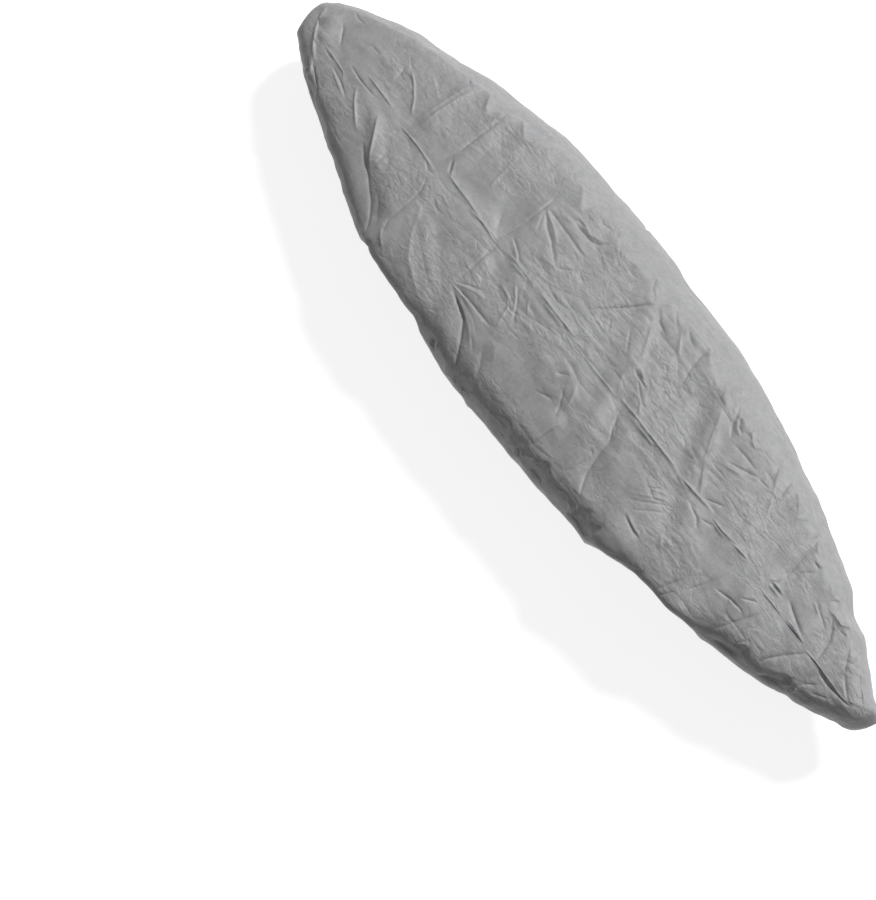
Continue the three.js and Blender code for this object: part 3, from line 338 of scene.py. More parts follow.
# The far shoulder's edge, where the flat top breaks into the sloping side: x and run in hundredths
# of each point.
SHOULDER = [
    -1440, 53, -1320, 56, -1220, 59, -1120, 62, -1070, 63.5, -990, 63.5, -960, 60, -935, 58,
    -900, 63, -870, 60, -840, 50, -812, 41, -790, 44, -768, 55, -745, 62, -720, 62, -690, 54,
    -660, 47, -638, 50, -622, 64, -560, 69, -490, 70, -470, 64, -445, 57, -420, 60, -380, 53,
    -340, 45, -325, 43, -308, 54, -250, 60, -228, 64, -190, 54, -140, 45, -105, 49, -60, 51,
    -20, 58, 30, 51, 65, 47, 85, 46, 104, 56, 125, 57.5, 150, 53, 180, 50, 200, 57, 280, 55.5,
    300, 60, 325, 54, 380, 49, 420, 46, 455, 47, 478, 61, 495, 59, 540, 45.5, 580, 54, 620, 54.5,
    660, 53, 700, 60, 740, 65, 775, 62, 810, 65, 850, 62, 880, 56, 912, 48, 935, 61, 970, 59,
    1005, 63, 1040, 50, 1070, 46, 1088, 59, 1110, 52, 1150, 49, 1168, 46, 1190, 57, 1220, 45,
    1250, 49, 1270, 60, 1300, 46, 1340, 41, 1380, 35, 1420, 30,
]
SHOULDER_RISE = 8.0
SHOULDER_EASE, SHOULDER_FULL = 120, 180
# inside and outside the edge: reach, the most share of the way down, and power
SHOULDER_SIDES = ((90.0, 0.5, 1.7), (58.0, 0.4, 1.2))

# Crumpling: height, size and seed of each layer. The bends keep its facets out of straight rows.
BEND, WAVES = (24, 170, 5), (0.4, 24, 13)
LARGE_CRUMPLE, SMALL_CRUMPLE, LIT_CRUMPLE = (6.2, 150, 11), (2.4, 64, 12), (2.6, 34, 17)
LARGE_STRETCH = 1.3
WALL_CRUMPLE = 0.25
# how far a layer's rows lean, and the cosine and sine by which the layers are turned
FACET_LEAN, CRUMPLE_TURN = 0.5, (0.8, 0.6)
# the upright folds of the walls: their bend, how they slant about a run, and their layers
UPRIGHT_BEND, UPRIGHT_SLANT, UPRIGHT_LEVEL = (10, 90, 14), 70, 0.8
UPRIGHT = [(0.16, (2.4, 44, 15)), (0.2, (1.2, 26, 16))]
# runs where each rises and falls, each with the length that it takes
TOP_ENDS, LIT_BAND, WALL_BAND = (0.55, 0.35), (0.42, 0.12, 0.75, 0.15), (0.6, 0.2, 1.3, 0.3)

# The gathers' seed, and between which bounds their sizes are drawn.
GATHER_SEED = 21
GATHER_PITCH, GATHER_HEIGHT, GATHER_TOP, GATHER_SLANT = (58, 110), (3.5, 9.0), (1.05, 1.5), 85
CLOSER_AT_ENDS, LONGER_AT_ENDS = 0.55, 0.45
GATHER_WIDTH, GATHER_FALL, GATHER_END = 0.27, 1.3, 2.05
GATHERED_IN, GATHERED_BELOW = 1.5, (1.4, 0.6)

# The cloth's mesh. The highest line's rings face up by the shares given.
COLUMNS_PER_SIDE, SECTION_RINGS, HEM_RINGS = 300, 62, 6
UPRIGHT_SHARES = (1.0, 0.6, 0.25)
# under a strap and away from the straps
HEM_RADIUS = (1.3, 4.7)
HEM_OVAL, HEM_STEP = 1.5, 3.0
HEM_ROLL = math.radians(215)
HEM_PUCKERS, PUCKERS_HELD = (1.74, 0.18), 0.3
REFINE_REACH, FINEST_FACE = (10.5, 4.6), 2.6
FIELDS = ("turn", "side", "run", "along", "across", "nx", "ny", "nz", "made")

# The cloth's bump: turn in degrees, stretch, ridges to a metre, height in metres, patches to a
# metre, share bare.
WRINKLES = [
    (12, 3.2, 11.0, 0.0040, 3.1, 0.51),
    (-38, 3.0, 17.0, 0.0026, 4.2, 0.51),
    (74, 3.0, 15.0, 0.0032, 3.6, 0.50),
    (118, 2.0, 30.0, 0.0015, 5.5, 0.46),
    (28, 1.8, 46.0, 0.0010, 6.0, 0.44),
]
FOLD_REACH, PATCH_EDGE = 0.2, 0.14
PUCKERS_PER_METRE, PUCKER_HEIGHT = (115, 11, 1), 0.007
GRAIN_HEIGHT = 0.0010
# in metres: the cloth's yarns, the webbing's ribs across and along it, and the floor
YARN_PITCH, RIB_PITCH = 0.0016, (0.0031, 0.0022)
FLOOR_REACH, FLOOR_Z = 30.0, -0.004

# The photograph's view: the point looked at, in the tables' frame, and the way back from it.
TARGET = (8.5, -562.7, 58.7)
BACK = (0.3372, -0.2274, 0.9135)
DISTANCE = 8.069
LENS = 100.0


def smooth(value, start=0.0, length=1.0):
    """0 up to the start, rising smoothly to 1 over the length."""
    f = np.clip((value - start) / length, 0, 1)
    return f * f * (3 - 2 * f)


def band(value, start, rise, end, fall):
    """Rises from 0 to 1 at the start, and falls back to 0 at the end."""
    return smooth(value, start, rise) * (1 - smooth(value, end, fall))


def hump(distance, reach):
    """1 at distance 0, falling smoothly to 0 at the reach."""
    f = np.clip(np.abs(distance) / reach, 0, 1)
    return 0.5 + 0.5 * np.cos(np.pi * f)


def mix(start, end, share):
    return start + (end - start) * share


def unit(vectors):
    """The vectors, each made 1 long."""
    return vectors / np.maximum(np.linalg.norm(vectors, axis=-1, keepdims=True), 1e-9)


def way_along(points):
    """The way along a row of points, from the first to each of them."""
    return np.concatenate([[0], np.cumsum(np.linalg.norm(np.diff(points, axis=0), axis=1))])


def hermite(table, at, column):
    """A smooth curve of a column over the first, with the slopes of the neighbouring rows."""
    x, y = table[:, 0], table[:, column]
    i = np.clip(np.searchsorted(x, at, side="left") - 1, 0, len(x) - 2)
    slope = np.empty(len(x))
    slope[1:-1] = (y[2:] - y[:-2]) / (x[2:] - x[:-2])
    slope[0] = (y[1] - y[0]) / (x[1] - x[0])
    slope[-1] = (y[-1] - y[-2]) / (x[-1] - x[-2])
    span = x[i + 1] - x[i]
    f = np.clip((at - x[i]) / span, 0, 1)
    start = y[i] * (1 + 2 * f) * (1 - f) ** 2 + slope[i] * span * f * (1 - f) ** 2
    end = y[i + 1] * f * f * (3 - 2 * f) - slope[i + 1] * span * f * f * (1 - f)
    return start + end


def turn_of(share):
    """The turn round the cover at a share of its length."""
    return np.arccos(np.clip(1 - 2 * share, -1, 1))


def by_turn(rows):
    """A table whose first column, a share, is replaced by its turn."""
    table = np.array(rows, float)
    table[:, 0] = turn_of(table[:, 0])
    return table


def numbered(rows):
    """A table with a first column added that runs evenly from 0 to 1."""
    return np.column_stack([np.linspace(0, 1, len(rows)), np.array(rows, float)])


stations, opening = by_turn(STATIONS), by_turn(OPENING)
near_section, far_section = numbered(NEAR_SECTION), numbered(FAR_SECTION)
under_section = numbered(UNDER_SECTION)


def raised_share(rim_x, side):
    """How far the near side's edge is raised at a place along the rim, from 0 to 1."""
    shares = [share * smooth((reach - np.abs(rim_x - x)) / ease) for x, reach, ease, share in RAISED]
    return np.where(side < 0, np.max(shares, axis=0), 0.0)


def upper_points(turn, side, run, share, rim):
    """The plain cloth from the highest line out to the rim."""
    far_share = 0.5 + 0.5 * side * smooth(np.sin(turn) / SECTION_BLEND)
    above = np.minimum(run, 1)
    parts = [[hermite(t, above, key) for t in (near_section, far_section)] for key in (1, 2)]
    out, up = (mix(near, far, far_share) for near, far in parts)
    ridge_x = (LENGTH - 2 * RIDGE_INSET) * (share - 0.5)
    z = mix(rim[..., 2], hermite(stations, turn, 4), up)
    return np.stack([mix(ridge_x, rim[..., 0], out), mix(RIDGE_Y, rim[..., 1], out), z], -1)


def under_points(side, run, raised, rim):
    """The plain cloth from the rim in to the hem. The hem is shorter than the rim at both ends."""
    rim_x, rim_z = rim[..., 0], rim[..., 2]
    inset = np.where(rim_x < 0, OPENING_START + LENGTH / 2, OPENING_END - LENGTH / 2)
    hem_x = rim_x + inset * smooth(np.abs(rim_x) / (LENGTH / 2), 0.5, 0.5)
    hem_turn = turn_of((hem_x - OPENING_START) / (OPENING_END - OPENING_START))
    half, height = hermite(opening, hem_turn, 1), hermite(opening, hem_turn, 2)
    hem = np.stack([hem_x, side * half, height], -1)
    below = np.clip(run - 1, 0, 1)
    straight, tucked, down = (hermite(under_section, below, key) for key in (1, 2, 3))
    under = mix(rim, hem, mix(straight, tucked, raised)[..., None])
    under[..., 2] = mix(rim_z, height, down)
    return under


def plain_points(turn, side, run):
    """The cloth without its folds: turn from 0 at the blunt end to pi at the pointed end, side -1
    or 1, run 0 at the highest line, 1 at the rim and 2 at the hem."""
    share = (1 - np.cos(turn)) / 2
    width = np.where(side < 0, hermite(stations, turn, 1), hermite(stations, turn, 2))
    rim_x = LENGTH * (share - 0.5)
    raised = raised_share(rim_x, side)
    rim_z = hermite(stations, turn, 3) + RAISED_BY * raised
    rim = np.stack([rim_x, side * width, rim_z], -1)
    top = upper_points(turn, side, run, share, rim)
    return np.where((run <= 1)[..., None], top, under_points(side, run, raised, rim))


def slack(x, run):
    """0 where a strap holds the cloth flat, and 1 away from the straps."""
    nearest = np.min([np.abs(x - strap[1]) for strap in STRAPS], axis=0)
    free = smooth(nearest - WEBBING_WIDTH / 2, FLAT_MARGIN, FLAT_REACH)
    return mix(1, free, smooth(run, *HELD_BELOW))


def top_fold_rise(x, y, run):
    """The main folds of the top, as the solid has them."""
    rise = np.zeros_like(x)
    fade = (1 - smooth(run, *TOP_FOLDS_END)) * (run <= 1)
    for *ends, reach, height in TOP_FOLDS:
        best, place, total = nearest_on_line(x, y, np.reshape(ends, (2, 2)))
        taper = fade * smooth(np.minimum(place, total - place) / (FOLD_TAPER * total))
        rise += taper * height * hump(best, reach)
    return rise


def main_rise(x, y, turn, side, run):
    """The main folds, the pockets and the gathers, as the solid has them."""
    rise = top_fold_rise(x, y, run)
    height = hump(run - (POCKET_TOP + POCKET_BOTTOM) / 2, (POCKET_BOTTOM - POCKET_TOP) / 2)
    for pocket_side, pocket_x, reach, deep in POCKETS:
        rise -= (side == pocket_side) * deep * height * hump(x - pocket_x, reach)
    ends = np.cos(turn) ** ENDS_POWER
    start, depth = mix(*PLEAT_START, ends), mix(*PLEAT_DEPTH, ends)
    phase = 2 * PLEATS_PER_SIDE * turn + PLEAT_WANDER * np.sin(PLEAT_WAVES * turn) * side
    rise += depth * smooth(run, start, 2 - start) * 0.5 * (np.cos(phase) - 1)
    return rise * slack(x, run)


def way_down(x, run, side):
    """The way from the highest line down the plain cloth to a run, in millimetres."""
    runs = np.linspace(0, 2, 201)
    turn = np.full_like(runs, turn_of(x / LENGTH + 0.5))
    return np.interp(run, runs, way_along(plain_points(turn, np.full_like(runs, side), runs)))


def crease_lines():
    """The creases with their points in millimetres on the cloth: x, and the way down, which is
    below zero on the near side, so that a crease can cross the highest line. The far shoulder's
    edge comes first."""
    lines = []
    for side, rise, tent, half, *flat in [(FAR, 0, 0, 1, *SHOULDER)] + CREASES:
        points = [(x, side * way_down(x, run / 100, side)) for x, run in zip(flat[::2], flat[1::2])]
        lines.append((np.array(points), rise, tent, half))
    return lines


def in_box(x, y, line, reach):
    """Which points lie within reach of the box round a line."""
    inside = (x > line[:, 0].min() - reach) & (x < line[:, 0].max() + reach)
    return inside & (y > line[:, 1].min() - reach) & (y < line[:, 1].max() + reach)


def nearest_on_line(x, y, line):
    """The distance to a line of points, the place of the nearest point on it, and its length."""
    best, place, done = np.full(x.shape, np.inf), np.zeros(x.shape), 0.0
    for (x0, y0), (x1, y1) in zip(line[:-1], line[1:]):
        dx, dy = x1 - x0, y1 - y0
        size = math.hypot(dx, dy)
        s = np.clip(((x - x0) * dx + (y - y0) * dy) / size, 0, size)
        d = np.hypot(x - x0 - s * dx / size, y - y0 - s * dy / size)
        closer = d < best
        best = np.where(closer, d, best)
        place = np.where(closer, done + s, place)
        done += size
    return best, place, done


def crease_rise(x, down, lines):
    """The creases: each a narrow ridge or valley along its points, fading at its ends, with a
    broad fold that has its crest on the same line."""
    rise = np.zeros_like(x)
    for line, height, tent, half in lines:
        foot = CREASE_FOOT * half
        near = in_box(x, down, line, TENT_REACH if tent else foot)
        if not near.any():
            continue
        best, place, total = nearest_on_line(x[near], down[near], line)
        ends = np.minimum(place, total - place)
        taper = smooth(ends / min(TAPER_LENGTH, TAPER_SHARE * total) + TAPER_LEFT)
        sharp = np.clip(1 - best / (CREASE_EDGE * half), 0, 1) ** CREASE_POWER
        narrow = CREASE_SHARP * sharp + CREASE_ROUND * hump(best, foot)
        broad = np.clip(1 - best / TENT_REACH, 0, 1) ** CREASE_POWER
        rise[near] += taper * height * narrow + smooth(ends / (0.5 * total)) * tent * broad
    return rise


def shoulder_rise(x, down, line):
    """A crisp edge along the far shoulder: the cloth rises gently to it from the top, and drops
    away more steeply beyond it."""
    edge = np.interp(x, line[:, 0], line[:, 1])
    out = down - edge
    (in_reach, in_share, in_power), (out_reach, out_share, out_power) = SHOULDER_SIDES
    inside = np.clip(1 + out / np.minimum(in_reach, in_share * edge), 0, 1) ** in_power
    outside = np.clip(1 - out / np.minimum(out_reach, out_share * edge), 0, 1) ** out_power
    ends = smooth(x, line[0, 0], SHOULDER_EASE) * smooth((line[-1, 0] - x) / SHOULDER_EASE)
    size = SHOULDER_RISE * np.minimum(1, edge / SHOULDER_FULL) * ends
    return size * np.where(out < 0, inside, outside)


def dent_rise(x, run):
    """The near wall's dents: arches with a steep upper edge that fade out below."""
    rise = np.zeros_like(x)
    for middle, half, top, bottom, deep, slant in DENTS:
        u = (x - middle - slant * (run - top)) / half
        edge = top + DENT_ARCH * np.abs(u) ** DENT_ARCH_POWER
        inside = band(run, edge, DENT_EDGE, bottom - DENT_FADE / 2, DENT_FADE)
        rise -= (np.abs(u) < 1) * deep * inside * smooth((1 - np.abs(u)) / DENT_SIDES)
    return rise


def lattice(u, v, seed):
    """Seeded heights at the whole places of u and v: the four round each point, and how far the
    point lies between them."""
    i, j = np.floor(u).astype(int), np.floor(v).astype(int)
    a, b = i - i.min(), j - j.min()
    height = np.random.default_rng(seed).uniform(-1, 1, (a.max() + 2, b.max() + 2))
    corners = height[a, b], height[a + 1, b], height[a, b + 1], height[a + 1, b + 1]
    return corners, u - i, v - j


def facets(x, y, layer):
    """Crumpling: flat triangles between seeded heights, which meet in crisp folds."""
    height, cell, seed = layer
    (h00, h10, h01, h11), u, v = lattice((x + FACET_LEAN * y) / cell, y / cell, seed)
    lower = h00 + u * (h10 - h00) + v * (h11 - h10)
    upper = h00 + v * (h01 - h00) + u * (h11 - h01)
    return height * np.where(u > v, lower, upper)


def soft_noise(x, y, layer):
    """Smooth seeded waves."""
    height, cell, seed = layer
    (h00, h10, h01, h11), u, v = lattice(x / cell, y / cell, seed)
    return height * mix(mix(h00, h10, smooth(u)), mix(h01, h11, smooth(u)), smooth(v))


def fine_rise(x, along, across, side, run, lines):
    """The fine folds of this scene, in millimetres. along is the way round the rim and across
    the way from the highest line, both on the cloth. The top is crumpled in facets, and the
    wall in upright folds that slant a little, with a soft change between."""
    down = side * across
    rise = crease_rise(x, down, lines) + (side < 0) * dent_rise(x, run)
    rise += (side > 0) * shoulder_rise(x, down, lines[0][0])
    bend = soft_noise(x, down, BEND)
    cos, sin = CRUMPLE_TURN
    turned, other = cos * x - sin * down, sin * x + cos * down
    crumple = facets(turned + bend, LARGE_STRETCH * (other - bend), LARGE_CRUMPLE)
    crumple += facets(other + bend, turned - bend, SMALL_CRUMPLE) + soft_noise(x, down, WAVES)
    rise += mix(1, WALL_CRUMPLE, smooth(run, *TOP_ENDS)) * crumple
    lit = (side > 0) * band(run, *LIT_BAND)
    rise += lit * facets(other - bend, turned + bend, LIT_CRUMPLE)
    upright = along + UPRIGHT_SLANT * side * (run - UPRIGHT_LEVEL)
    upright = upright + soft_noise(along, across, UPRIGHT_BEND)
    folds = sum(facets(upright, flat * across, layer) for flat, layer in UPRIGHT)
    return rise + band(run, *WALL_BAND) * folds


def gather_table(total, turn_at):
    """The way round the rim, and gathers of uneven size along it: place, pitch, height, top and
    slant."""
    rng = np.random.default_rng(GATHER_SEED)
    rows = []
    place = 0.0
    while place < total:
        ends = math.cos(turn_at(place)) ** ENDS_POWER
        pitch = rng.uniform(*GATHER_PITCH) * (1 - CLOSER_AT_ENDS * ends)
        height = rng.uniform(*GATHER_HEIGHT)
        top = rng.uniform(*GATHER_TOP) - LONGER_AT_ENDS * ends * rng.random()
        rows.append((place, pitch, height, top, rng.uniform(-GATHER_SLANT, GATHER_SLANT)))
        place += pitch
    return total, rows


def gather_rise(along, run, gathers):
    """Gathers that rise from the hem into the wall, longest at both ends."""
    rise = np.zeros_like(along)
    total, rows = gathers
    for place, pitch, height, top, slant in rows:
        shift = np.abs(along - place - slant * (2 - run))
        shift = np.minimum(shift, total - shift)
        length = smooth(run, top, GATHER_END - top)
        rise += height * length * np.exp(-GATHER_FALL * (shift / (GATHER_WIDTH * pitch)) ** 2)
    return rise - GATHERED_IN * smooth(run, *GATHERED_BELOW)


def rim_turns():
    """Turns that space the columns evenly along the rim."""
    turn = np.linspace(0, np.pi, 4001)
    one = np.ones_like(turn)
    way = sum(way_along(plain_points(turn, side * one, one)) / 2 for side in (NEAR, FAR))
    even = np.linspace(0, way[-1], COLUMNS_PER_SIDE + 1)
    return np.interp(even, way, turn), even


def section_runs():
    """Runs that space the rings evenly down the middle section."""
    run = np.linspace(0, 2, 2001)
    way = way_along(plain_points(np.full_like(run, np.pi / 2), np.ones_like(run), run))
    return np.interp(np.linspace(0, way[-1], SECTION_RINGS), way, run)


def grid_normals(p):
    """Unit normals of a closed grid of columns by rings, facing out, and upright on the highest
    line."""
    ahead = np.roll(p, -1, axis=0) - np.roll(p, 1, axis=0)
    normal = unit(np.cross(ahead, np.gradient(p, axis=1)))
    for ring, share in enumerate(UPRIGHT_SHARES):
        normal[:, ring] = mix(normal[:, ring], np.array([0.0, 0.0, 1.0]), share)
    return unit(normal)


def cloth_grid():
    """The plain cloth as a grid: named arrays of columns by rings."""
    turns, way = rim_turns()
    runs = section_runs()
    back = slice(-2, 0, -1)
    columns = {
        "turn": np.concatenate([turns, turns[back]]),
        "side": np.concatenate([np.ones(len(turns)), -np.ones(len(turns) - 2)]),
        "along": np.concatenate([way, 2 * way[-1] - way[back]]),
    }
    shape = (len(columns["turn"]), len(runs))
    grid = {key: np.broadcast_to(column[:, None], shape) for key, column in columns.items()}
    grid["run"] = np.broadcast_to(runs[None], shape)
    grid["total"] = 2 * way[-1]
    grid["turn_at"] = lambda place: np.interp(min(place, 2 * way[-1] - place), way, turns)
    grid["plain"] = plain_points(grid["turn"], grid["side"], grid["run"])
    steps = np.linalg.norm(np.diff(grid["plain"], axis=1), axis=2)
    grid["across"] = np.concatenate([np.zeros((shape[0], 1)), np.cumsum(steps, axis=1)], axis=1)
    grid["normal"] = grid_normals(grid["plain"])
    return grid


def whole_rise(a, lines, gathers):
    """All the folds at points given by named arrays."""
    x, y = a["plain"][..., 0], a["plain"][..., 1]
    fine = fine_rise(x, a["along"], a["across"], a["side"], a["run"], lines)
    fine += gather_rise(a["along"], a["run"], gathers)
    return main_rise(x, y, a["turn"], a["side"], a["run"]) + fine * slack(x, a["run"])


def hem_rings(p, normal, loose):
    """The hem's casing: the cloth's edge rolled in round the elastic, flat where a strap is."""
    inward = unit(p[:, -1] - p[:, -3])
    inside = -normal[:, -2]
    radius = mix(*HEM_RADIUS, loose)[:, None]
    rings = []
    for k in range(1, HEM_RINGS + 1):
        angle = HEM_ROLL * k / HEM_RINGS
        offset = inward * HEM_OVAL * math.sin(angle) + inside * (1 - math.cos(angle))
        rings.append(p[:, -1] + radius * offset)
    return np.stack(rings, axis=1)


def build_cloth():
    """The cloth: a plain grid, made finer along the creases, then moved out by its folds. The
    hem's casing is rolled from the folded edge, so its points come ready made."""
    grid = cloth_grid()
    lines, gathers = crease_lines(), gather_table(grid["total"], grid["turn_at"])
    folded = grid["plain"] + grid["normal"] * whole_rise(grid, lines, gathers)[..., None]
    loose = slack(grid["plain"][..., 0], grid["run"])[:, -1]
    obj = add_object("cover_cloth", grid_mesh(grid, hem_rings(folded, grid_normals(folded), loose)))
    for reach in REFINE_REACH:
        refine_along_creases(obj.data, reach, lines)
    fold_mesh(obj.data, lines, gathers)
    return obj


def grid_fields(grid, extra):
    """The grid's named arrays, carried on over the extra rings of the hem."""
    widen = lambda a: np.concatenate([a, np.repeat(a[:, -1:], extra, axis=1)], axis=1)
    fields = {key: widen(grid[key]) for key in ("turn", "side", "run", "along")}
    more = grid["across"][:, -1:] + HEM_STEP * np.arange(1, extra + 1)
    fields["across"] = np.concatenate([grid["across"], more], axis=1)
    for axis, key in enumerate(("nx", "ny", "nz")):
        fields[key] = widen(grid["normal"][..., axis])
    fields["made"] = np.ones_like(fields["run"])
    fields["made"][:, :-extra] = 0
    return fields


def grid_mesh(grid, hem):
    """The grid as a mesh that carries its named arrays as point attributes."""
    points = np.concatenate([grid["plain"], hem], axis=1)
    used, index = shared_index(*points.shape[:2])
    ahead = np.roll(index, -1, axis=0)
    quads = np.stack([index[:, :-1], index[:, 1:], ahead[:, 1:], ahead[:, :-1]], -1)
    corners = [list(dict.fromkeys(quad)) for quad in quads.reshape(-1, 4).tolist()]
    mesh = new_mesh("cloth", points.reshape(-1, 3)[used], corners)
    for key, values in grid_fields(grid, hem.shape[1]).items():
        write_field(mesh, key, values.ravel()[used])
    return mesh


def shared_index(columns, rings):
    """Which grid points are kept, and the mesh's index of each: the two sides share the points
    of the highest line."""
    owner = np.arange(columns * rings).reshape(columns, rings)
    other_side = np.arange(columns // 2 + 1, columns)
    owner[other_side, 0] = owner[columns - other_side, 0]
    used, index = np.unique(owner, return_inverse=True)
    return used, index.reshape(columns, rings)


def refine_along_creases(mesh, reach, lines):
    """Cuts in four each face that lies within reach of a crease."""
    bm = bmesh.new()
    bm.from_mesh(mesh)
    side, across = bm.verts.layers.float["side"], bm.verts.layers.float["across"]
    x = np.array([f.calc_center_median().x for f in bm.faces])
    down = np.array([sum(v[side] * v[across] for v in f.verts) / len(f.verts) for f in bm.faces])
    size = np.sqrt(np.array([f.calc_area() for f in bm.faces]))
    close = np.zeros(len(x), bool)
    for line, _, _, _ in lines:
        box = in_box(x, down, line, reach)
        close[box] |= nearest_on_line(x[box], down[box], line)[0] < reach
    close &= size > FINEST_FACE
    edges = {e for f, near in zip(bm.faces, close) if near for e in f.edges}
    bmesh.ops.subdivide_edges(bm, edges=list(edges), cuts=1, use_grid_fill=True)
    bm.to_mesh(mesh)
    bm.free()


def fold_mesh(mesh, lines, gathers):
    """Moves the plain points out by the folds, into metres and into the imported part's frame."""
    count = len(mesh.vertices)
    plain = read(mesh.vertices, "co", 3 * count).reshape(-1, 3)
    a = {key: read(mesh.attributes[key].data, "value", count) for key in FIELDS}
    a["plain"] = plain
    a["side"] = np.sign(a["side"] + 1e-6)
    normal = unit(np.stack([a["nx"], a["ny"], a["nz"]], -1))
    rise = whole_rise(a, lines, gathers) * (a["made"] < 0.5)
    points = (plain + normal * rise[:, None] + SHIFT) / PER_METRE
    mesh.vertices.foreach_set("co", points.ravel())
    set_uv(mesh, "cloth", np.stack([a["along"], a["across"]], -1) / PER_METRE)
    for key in FIELDS:
        mesh.attributes.remove(mesh.attributes[key])
    loose = slack(plain[:, 0], a["run"])
    puckers = smooth(a["run"], *HEM_PUCKERS) * mix(PUCKERS_HELD, 1, loose)
    write_field(mesh, "hem", puckers)
    mesh.update()


def new_mesh(name, points, faces):
    """A smooth-shaded mesh."""
    mesh = bpy.data.meshes.new(name)
    mesh.from_pydata(points.tolist(), [], faces, shade_flat=False)
    return mesh


def read(data, key, size, kind=float):
    """One value of each item of a mesh, as an array."""
    values = np.empty(size, kind)
    data.foreach_get(key, values)
    return values


def write_field(mesh, key, values):
    mesh.attributes.new(key, "FLOAT", "POINT").data.foreach_set("value", values)


def set_uv(mesh, name, uv):
    """UVs from one place, in metres on the piece, for each point."""
    corners = read(mesh.loops, "vertex_index", len(mesh.loops), int)
    mesh.uv_layers.new(name=name).data.foreach_set("uv", uv[corners].ravel())


def add_object(name, data):
    obj = bpy.data.objects.new(name, data)
    bpy.context.scene.collection.objects.link(obj)
    return obj


def strap_frame(name, low):
    """A strap's curve under the kayak, as a point for each y, and its buckle's place: a function
    from the way along the buckle and outward to y and z."""
    near, far = SEWN[name + "_long"][-1], SEWN[name + "_short"][-1]

    def curve(y):
        end = near if y < 0 else far
        return np.array([y, low + (end[1] - low) * abs(y / end[0]) ** STRAP_BELLY])

    start = curve(far[0] - SHORT_VISIBLE)
    ahead = unit(curve(start[0] - BUCKLE_END * BUCKLE_CHORD) - start)
    outward = np.array([-ahead[1], ahead[0]])
    return curve, lambda along, out: start + ahead * along + outward * out


def around_bar(place, along, direction):
    """Half a turn of webbing round a bar, from the inner to the outer side."""
    middle = along + direction * BAR_SHIFT
    turns = np.linspace(0, math.pi, BAR_STEPS)
    return [place(middle + direction * LANE * math.sin(a), -LANE * math.cos(a)) for a in turns]


def layer_below(curve, y):
    """The point of the outer layer at y, one layer below the curve."""
    slope = unit(curve(y + 1) - curve(y - 1))
    return curve(y) + LAYER * np.array([slope[1], -slope[0]])


def short_path(place):
    """From the hem to the socket's bar, round it and back over itself."""
    path = [place(SHORT_FLAT, -FLAT_IN), place(SHORT_TURN, -LANE)] + around_bar(place, SOCKET_BAR, 1)
    path += [place(SHORT_TURN, LANE), place(SHORT_CLOSED, LAYER - CLOSED_IN)]
    return path + [place(-DOUBLED_BACK, LAYER - FLAT_IN)]


def long_path(curve, place, sewn_y, tail_from):
    """From the other hem to the plug's middle bar, round it and back to where the tail leaves."""
    end = place(BUCKLE_END + LONG_FLAT, 0)[0]
    path = [curve(y) for y in np.linspace(sewn_y + LONG_START, end, CURVE_STEPS)]
    path += [place(BUCKLE_END + LONG_TURN, -LANE)] + around_bar(place, PLUG_BAR, -1)
    path += [place(BUCKLE_END + LONG_TURN, LANE)]
    return path + [layer_below(curve, y) for y in np.linspace(end, tail_from, CURVE_STEPS)]


def tail_path(curve, x, tail_from, tail):
    """The free tail, which leaves the strap sideways: a smooth curve through its points."""
    table = np.array([(i, dx, dy) for i, (dx, dy) in enumerate([(0, 0)] + tail)], float)
    path = []
    for f in np.linspace(0, len(tail), TAIL_STEPS)[1:]:
        dx, dy = hermite(table, f, 1), hermite(table, f, 2)
        y, z = layer_below(curve, tail_from + float(dy))
        path.append((x + float(dx), y, max(z, WEBBING_THICKNESS / 2)))
    return np.array(path)


def webbing_profile():
    """The section's outline in millimetres, all the way round."""
    left = [(-w, t) for w, t in reversed(WEBBING_EDGE[:-1])]
    below = [(w, -t) for w, t in reversed((WEBBING_EDGE + left)[1:-1])]
    return np.array(WEBBING_EDGE + left + below) * (WEBBING_WIDTH / 2, WEBBING_THICKNESS / 2)


def even_path(points, widths):
    """The path and its width's directions, at even steps and a little rounded at its corners."""
    way = way_along(points)
    at = np.linspace(0, way[-1], int(way[-1] / WEBBING_STEP))
    rows = [np.stack([np.interp(at, way, p[:, k]) for k in range(3)], -1) for p in (points, widths)]
    for _ in range(ROUNDINGS):
        for p in rows:
            p[1:-1] = 0.25 * p[:-2] + 0.5 * p[1:-1] + 0.25 * p[2:]
    return at, rows[0], unit(rows[1])


def webbing_strip(name, points, widths):
    """A strip of webbing along a path, with UVs in metres along and across it."""
    at, path, across = even_path(np.array(points, float), np.array(widths, float))
    normal = unit(np.cross(np.gradient(path, axis=0), across))
    w, t = webbing_profile().T
    rings = path[:, None] + across[:, None] * w[:, None] + normal[:, None] * t[:, None]
    index = np.arange(rings.size // 3).reshape(len(path), len(w))
    turn = np.roll(index, -1, axis=1)
    quads = np.stack([index[:-1], turn[:-1], turn[1:], index[1:]], -1).reshape(-1, 4)
    ends = [index[0][::-1].tolist(), index[-1].tolist()]
    mesh = new_mesh(name, ((rings + SHIFT) / PER_METRE).reshape(-1, 3), quads.tolist() + ends)
    uv = np.stack(np.broadcast_arrays(w[None], at[:, None]), -1).reshape(-1, 2)
    set_uv(mesh, "webbing", uv / PER_METRE)
    return add_object(name + "_webbing", mesh), at[-1] / PER_METRE


def sewn_stops(name, x):
    """The strip's points and width directions inside the hem."""
    rows = SEWN[name]
    turns = [math.radians(turn) for _, _, turn in rows]
    return [(x, y, z) for y, z, _ in rows], [(math.cos(a), math.sin(a), 0) for a in turns]


